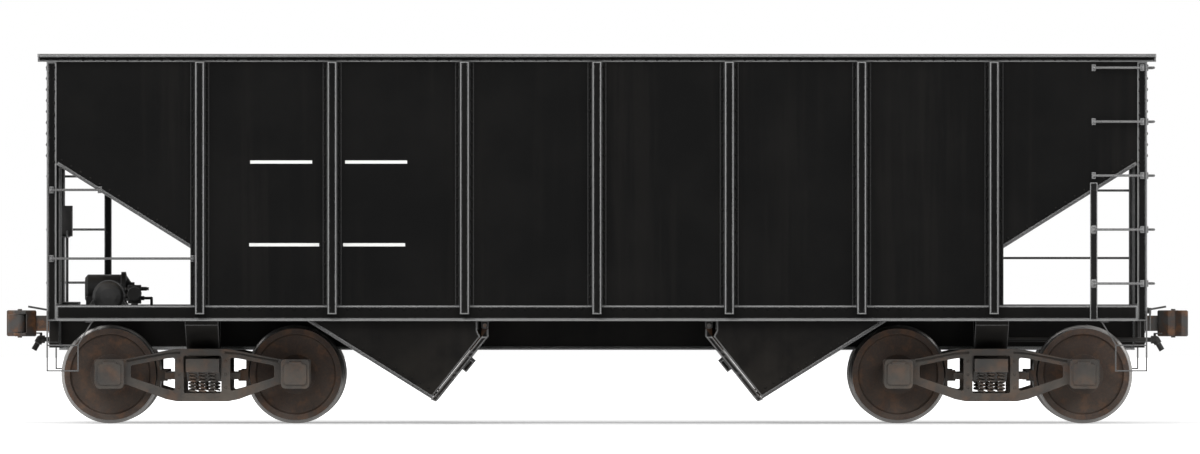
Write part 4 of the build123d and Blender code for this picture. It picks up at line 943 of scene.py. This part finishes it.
# Iron pipes of the brake gear on the -X platform
NUT_WIDTH = 1.55
NUT_LENGTH = 2.4
PIPE_SIDES = 12
PIPE_SHARP = math.radians(40)
BEND_STEPS = 6


def pipe_path(corners, bend):
    """Centre line with an arc of the given radius at each inner corner."""
    corners = [Vector(corner) for corner in corners]
    path = [corners[0]]
    for before, corner, after in zip(corners, corners[1:], corners[2:]):
        back, ahead = (before - corner).normalized(), (after - corner).normalized()
        half = back.angle(ahead) / 2
        centre = corner + (back + ahead).normalized() * bend / math.sin(half)
        start = (corner + back * bend / math.tan(half) - centre).normalized()
        stop = (corner + ahead * bend / math.tan(half) - centre).normalized()
        path += [centre + start.slerp(stop, step / BEND_STEPS) * bend for step in range(BEND_STEPS + 1)]
    return path + [corners[-1]]


def pipe_rings(path, radius):
    """Places and radii along a pipe with a union nut at each end."""
    first, last = (path[1] - path[0]).normalized(), (path[-1] - path[-2]).normalized()
    nut, long = radius * NUT_WIDTH, radius * NUT_LENGTH
    rings = [(path[0], nut), (path[0] + first * long, nut), (path[0] + first * long, radius)]
    rings += [(place, radius) for place in path[1:-1]]
    return rings + [(path[-1] - last * long, radius), (path[-1] - last * long, nut), (path[-1], nut)]


def pipe_piece(name, routes, body, finish):
    """Round pipes along their routes. A route is (corners, bend radius, pipe radius)."""
    mesh = bmesh.new()
    for corners, bend, radius in routes:
        path = pipe_path(corners, bend)
        rings = pipe_rings(path, radius)
        way = (path[1] - path[0]).normalized()
        across = way.orthogonal().normalized()
        loops = []
        for i, (place, size) in enumerate(rings):
            ahead = next((p - place for p, _ in rings[i + 1:] if (p - place).length > 1e-5), way)
            across.rotate(way.rotation_difference(ahead.normalized()))
            way = ahead.normalized()
            loops.append([
                mesh.verts.new(place + Matrix.Rotation(math.tau * k / PIPE_SIDES, 3, way) @ across * size)
                for k in range(PIPE_SIDES)
            ])
        for low, high in zip(loops, loops[1:]):
            for k in range(PIPE_SIDES):
                following = (k + 1) % PIPE_SIDES
                mesh.faces.new((low[k], low[following], high[following], high[k]))
        mesh.faces.new(reversed(loops[0]))
        mesh.faces.new(loops[-1])
    bmesh.ops.recalc_face_normals(mesh, faces=mesh.faces)
    data = bpy.data.meshes.new(name)
    mesh.to_mesh(data)
    mesh.free()
    data.shade_smooth()
    data.set_sharp_from_angle(angle=PIPE_SHARP)
    data.materials.append(finish)
    add_piece(name, data, body)


BRANCH_PIPES = (
    (((-4.05, 0.33, 0.755), (-4.05, 0.33, 1.13), (-4.05, 0.13, 1.13), (-4.142, 0.13, 1.13)), 0.04, 0.013),
    (((-4.258, 0.1, 1.15), (-4.41, 0.1, 1.15), (-4.41, -0.324, 1.15)), 0.06, 0.013),
    (((-4.258, 0.165, 1.21), (-4.5, 0.165, 1.21), (-4.5, 0.436, 1.21)), 0.06, 0.011),
)
pipe_piece("brake_branch_pipes", BRANCH_PIPES, "wagon", PAINT["gear"])


# Geometry Nodes: nested coil springs, one pair standing on each point, in place of the plain ribbed columns
def make_spring_tree():
    sizes = {
        "Height": 0.27, "Outer Radius": 0.06, "Outer Wire": 0.012, "Inner Radius": 0.03, "Inner Wire": 0.007,
    }
    tree, inlet, outlet = new_geometry_tree("coil_springs", "Seats", sizes, "Springs")
    link = tree.links.new
    pair = tree.nodes.new("GeometryNodeJoinGeometry")
    for label, turns, backwards in (("Outer", 5.5, False), ("Inner", 9.5, True)):
        helix = tree.nodes.new("GeometryNodeCurveSpiral")
        helix.inputs["Resolution"].default_value = 22
        helix.inputs["Rotations"].default_value = turns
        helix.inputs["Reverse"].default_value = backwards
        link(inlet.outputs[label + " Radius"], helix.inputs["Start Radius"])
        link(inlet.outputs[label + " Radius"], helix.inputs["End Radius"])
        link(inlet.outputs["Height"], helix.inputs["Height"])
        wire = tree.nodes.new("GeometryNodeCurvePrimitiveCircle")
        wire.inputs["Resolution"].default_value = 8
        link(inlet.outputs[label + " Wire"], wire.inputs["Radius"])
        coil = tree.nodes.new("GeometryNodeCurveToMesh")
        coil.inputs["Fill Caps"].default_value = True
        link(helix.outputs["Curve"], coil.inputs["Curve"])
        link(wire.outputs["Curve"], coil.inputs["Profile Curve"])
        link(coil.outputs["Mesh"], pair.inputs["Geometry"])
    stand = tree.nodes.new("GeometryNodeInstanceOnPoints")
    link(inlet.outputs["Seats"], stand.inputs["Points"])
    link(pair.outputs["Geometry"], stand.inputs["Instance"])
    finish_instances(tree, stand.outputs["Instances"], inlet, outlet)
    return tree


SPRING_TREE = make_spring_tree()
SPRING_X = (-0.088, 0.0, 0.088)
SPRING_Y = (-0.046, 0.046)
SEAT_GAP = 0.0125
SPRING_SIZES = {
    "Outer Radius": 0.0285, "Outer Wire": 0.0095, "Inner Radius": 0.013, "Inner Wire": 0.004,
    "Finish": SPRING_STEEL,
}
for letter, end in (("a", -1), ("b", 1)):
    node = "bogie_springs_" + letter
    low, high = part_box(node)
    seats = bpy.data.meshes.new("seats")
    seats.from_pydata([
        (end * BOGIE_X + x, side * JOURNAL_MID + y, low[2] + SEAT_GAP)
        for x in SPRING_X for side in SIDES for y in SPRING_Y
    ], [], [])
    height = high[2] - low[2] - 2 * SEAT_GAP
    springs = run_tree(
        "coil_springs_" + letter, seats, SPRING_TREE, {"Height": height, **SPRING_SIZES},
        "bogie_" + letter,
    )
    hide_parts(node)


# Floor, backdrop, lights and camera
FLOOR_REACH = 90
SHADOW_X = 4.0
SHADOW_Y = 0.5
SHADOW_FADE = (1.0, 7.0)


def seen_directly(tree):
    """1 for what the camera, a mirror or glass sees, and 0 for the light that falls on the wagon."""
    path = tree.nodes.new("ShaderNodeLightPath")
    seen = maths(tree, "MAXIMUM", path.outputs["Is Camera Ray"], path.outputs["Is Glossy Ray"])
    return maths(tree, "MAXIMUM", seen, path.outputs["Is Transmission Ray"])


def studio_white():
    """White floor that takes the shadow near the wagon and fades to the white of the backdrop around it."""
    material, tree, shader = start_material("studio_floor_white")
    shader.inputs["Base Color"].default_value = (0.88, 0.88, 0.88, 1)
    shader.inputs["Roughness"].default_value = 0.9
    shader.inputs["Specular IOR Level"].default_value = 0.0
    shader.inputs["Emission Color"].default_value = (1, 1, 1, 1)
    x, y, _ = axes_of(tree, object_position(tree))
    away = hypotenuse(tree, beyond(tree, x, SHADOW_X), beyond(tree, y, SHADOW_Y))
    glow = mix_value(tree, ramp(tree, away, *SHADOW_FADE), 0.38, 1.0)
    tree.links.new(maths(tree, "MULTIPLY", glow, seen_directly(tree)), shader.inputs["Emission Strength"])
    return material


def area_light(name, place, target, size, power):
    data = bpy.data.lights.new(name, "AREA")
    data.shape = "RECTANGLE"
    data.size = size[0]
    data.size_y = size[1]
    data.energy = power
    lamp = bpy.data.objects.new(name, data)
    bpy.context.scene.collection.objects.link(lamp)
    lamp.location = place
    lamp.rotation_euler = (Vector(target) - Vector(place)).to_track_quat("-Z", "Y").to_euler()


floor_mesh = bpy.data.meshes.new("studio_floor")
corners = [(x * FLOOR_REACH, y * FLOOR_REACH, 0) for x, y in ((-1, -1), (1, -1), (1, 1), (-1, 1))]
floor_mesh.from_pydata(corners, [], [(0, 1, 2, 3)])
floor = bpy.data.objects.new("studio_floor", floor_mesh)
bpy.context.scene.collection.objects.link(floor)
floor_mesh.materials.append(studio_white())

world = bpy.data.worlds.new("studio_world")
bpy.context.scene.world = world
world.use_nodes = True
tree = world.node_tree
background = tree.nodes["Background"]
background.inputs["Color"].default_value = (1, 1, 1, 1)
tree.links.new(mix_value(tree, seen_directly(tree), 0.6, 1.0), background.inputs["Strength"])

area_light("key_light", (-12, -18, 16), (0, 0, 1.4), (14, 9), 2600)
area_light("fill_light", (14, -15, 9), (0, 0, 1.4), (12, 8), 900)
area_light("back_light", (0, 16, 14), (0, 0, 1.5), (16, 8), 1300)

camera_data = bpy.data.cameras.new("side_view_camera")
camera_data.lens = 600
camera_data.sensor_width = 36
camera_data.clip_start = 1.0
camera_data.clip_end = 1000.0
camera = bpy.data.objects.new("side_view_camera", camera_data)
bpy.context.scene.collection.objects.link(camera)
camera.location = (0.028, -181.55, 1.776)
camera.rotation_euler = (math.radians(90), 0, 0)
bpy.context.scene.camera = camera
bpy.context.scene.view_settings.view_transform = "Standard"
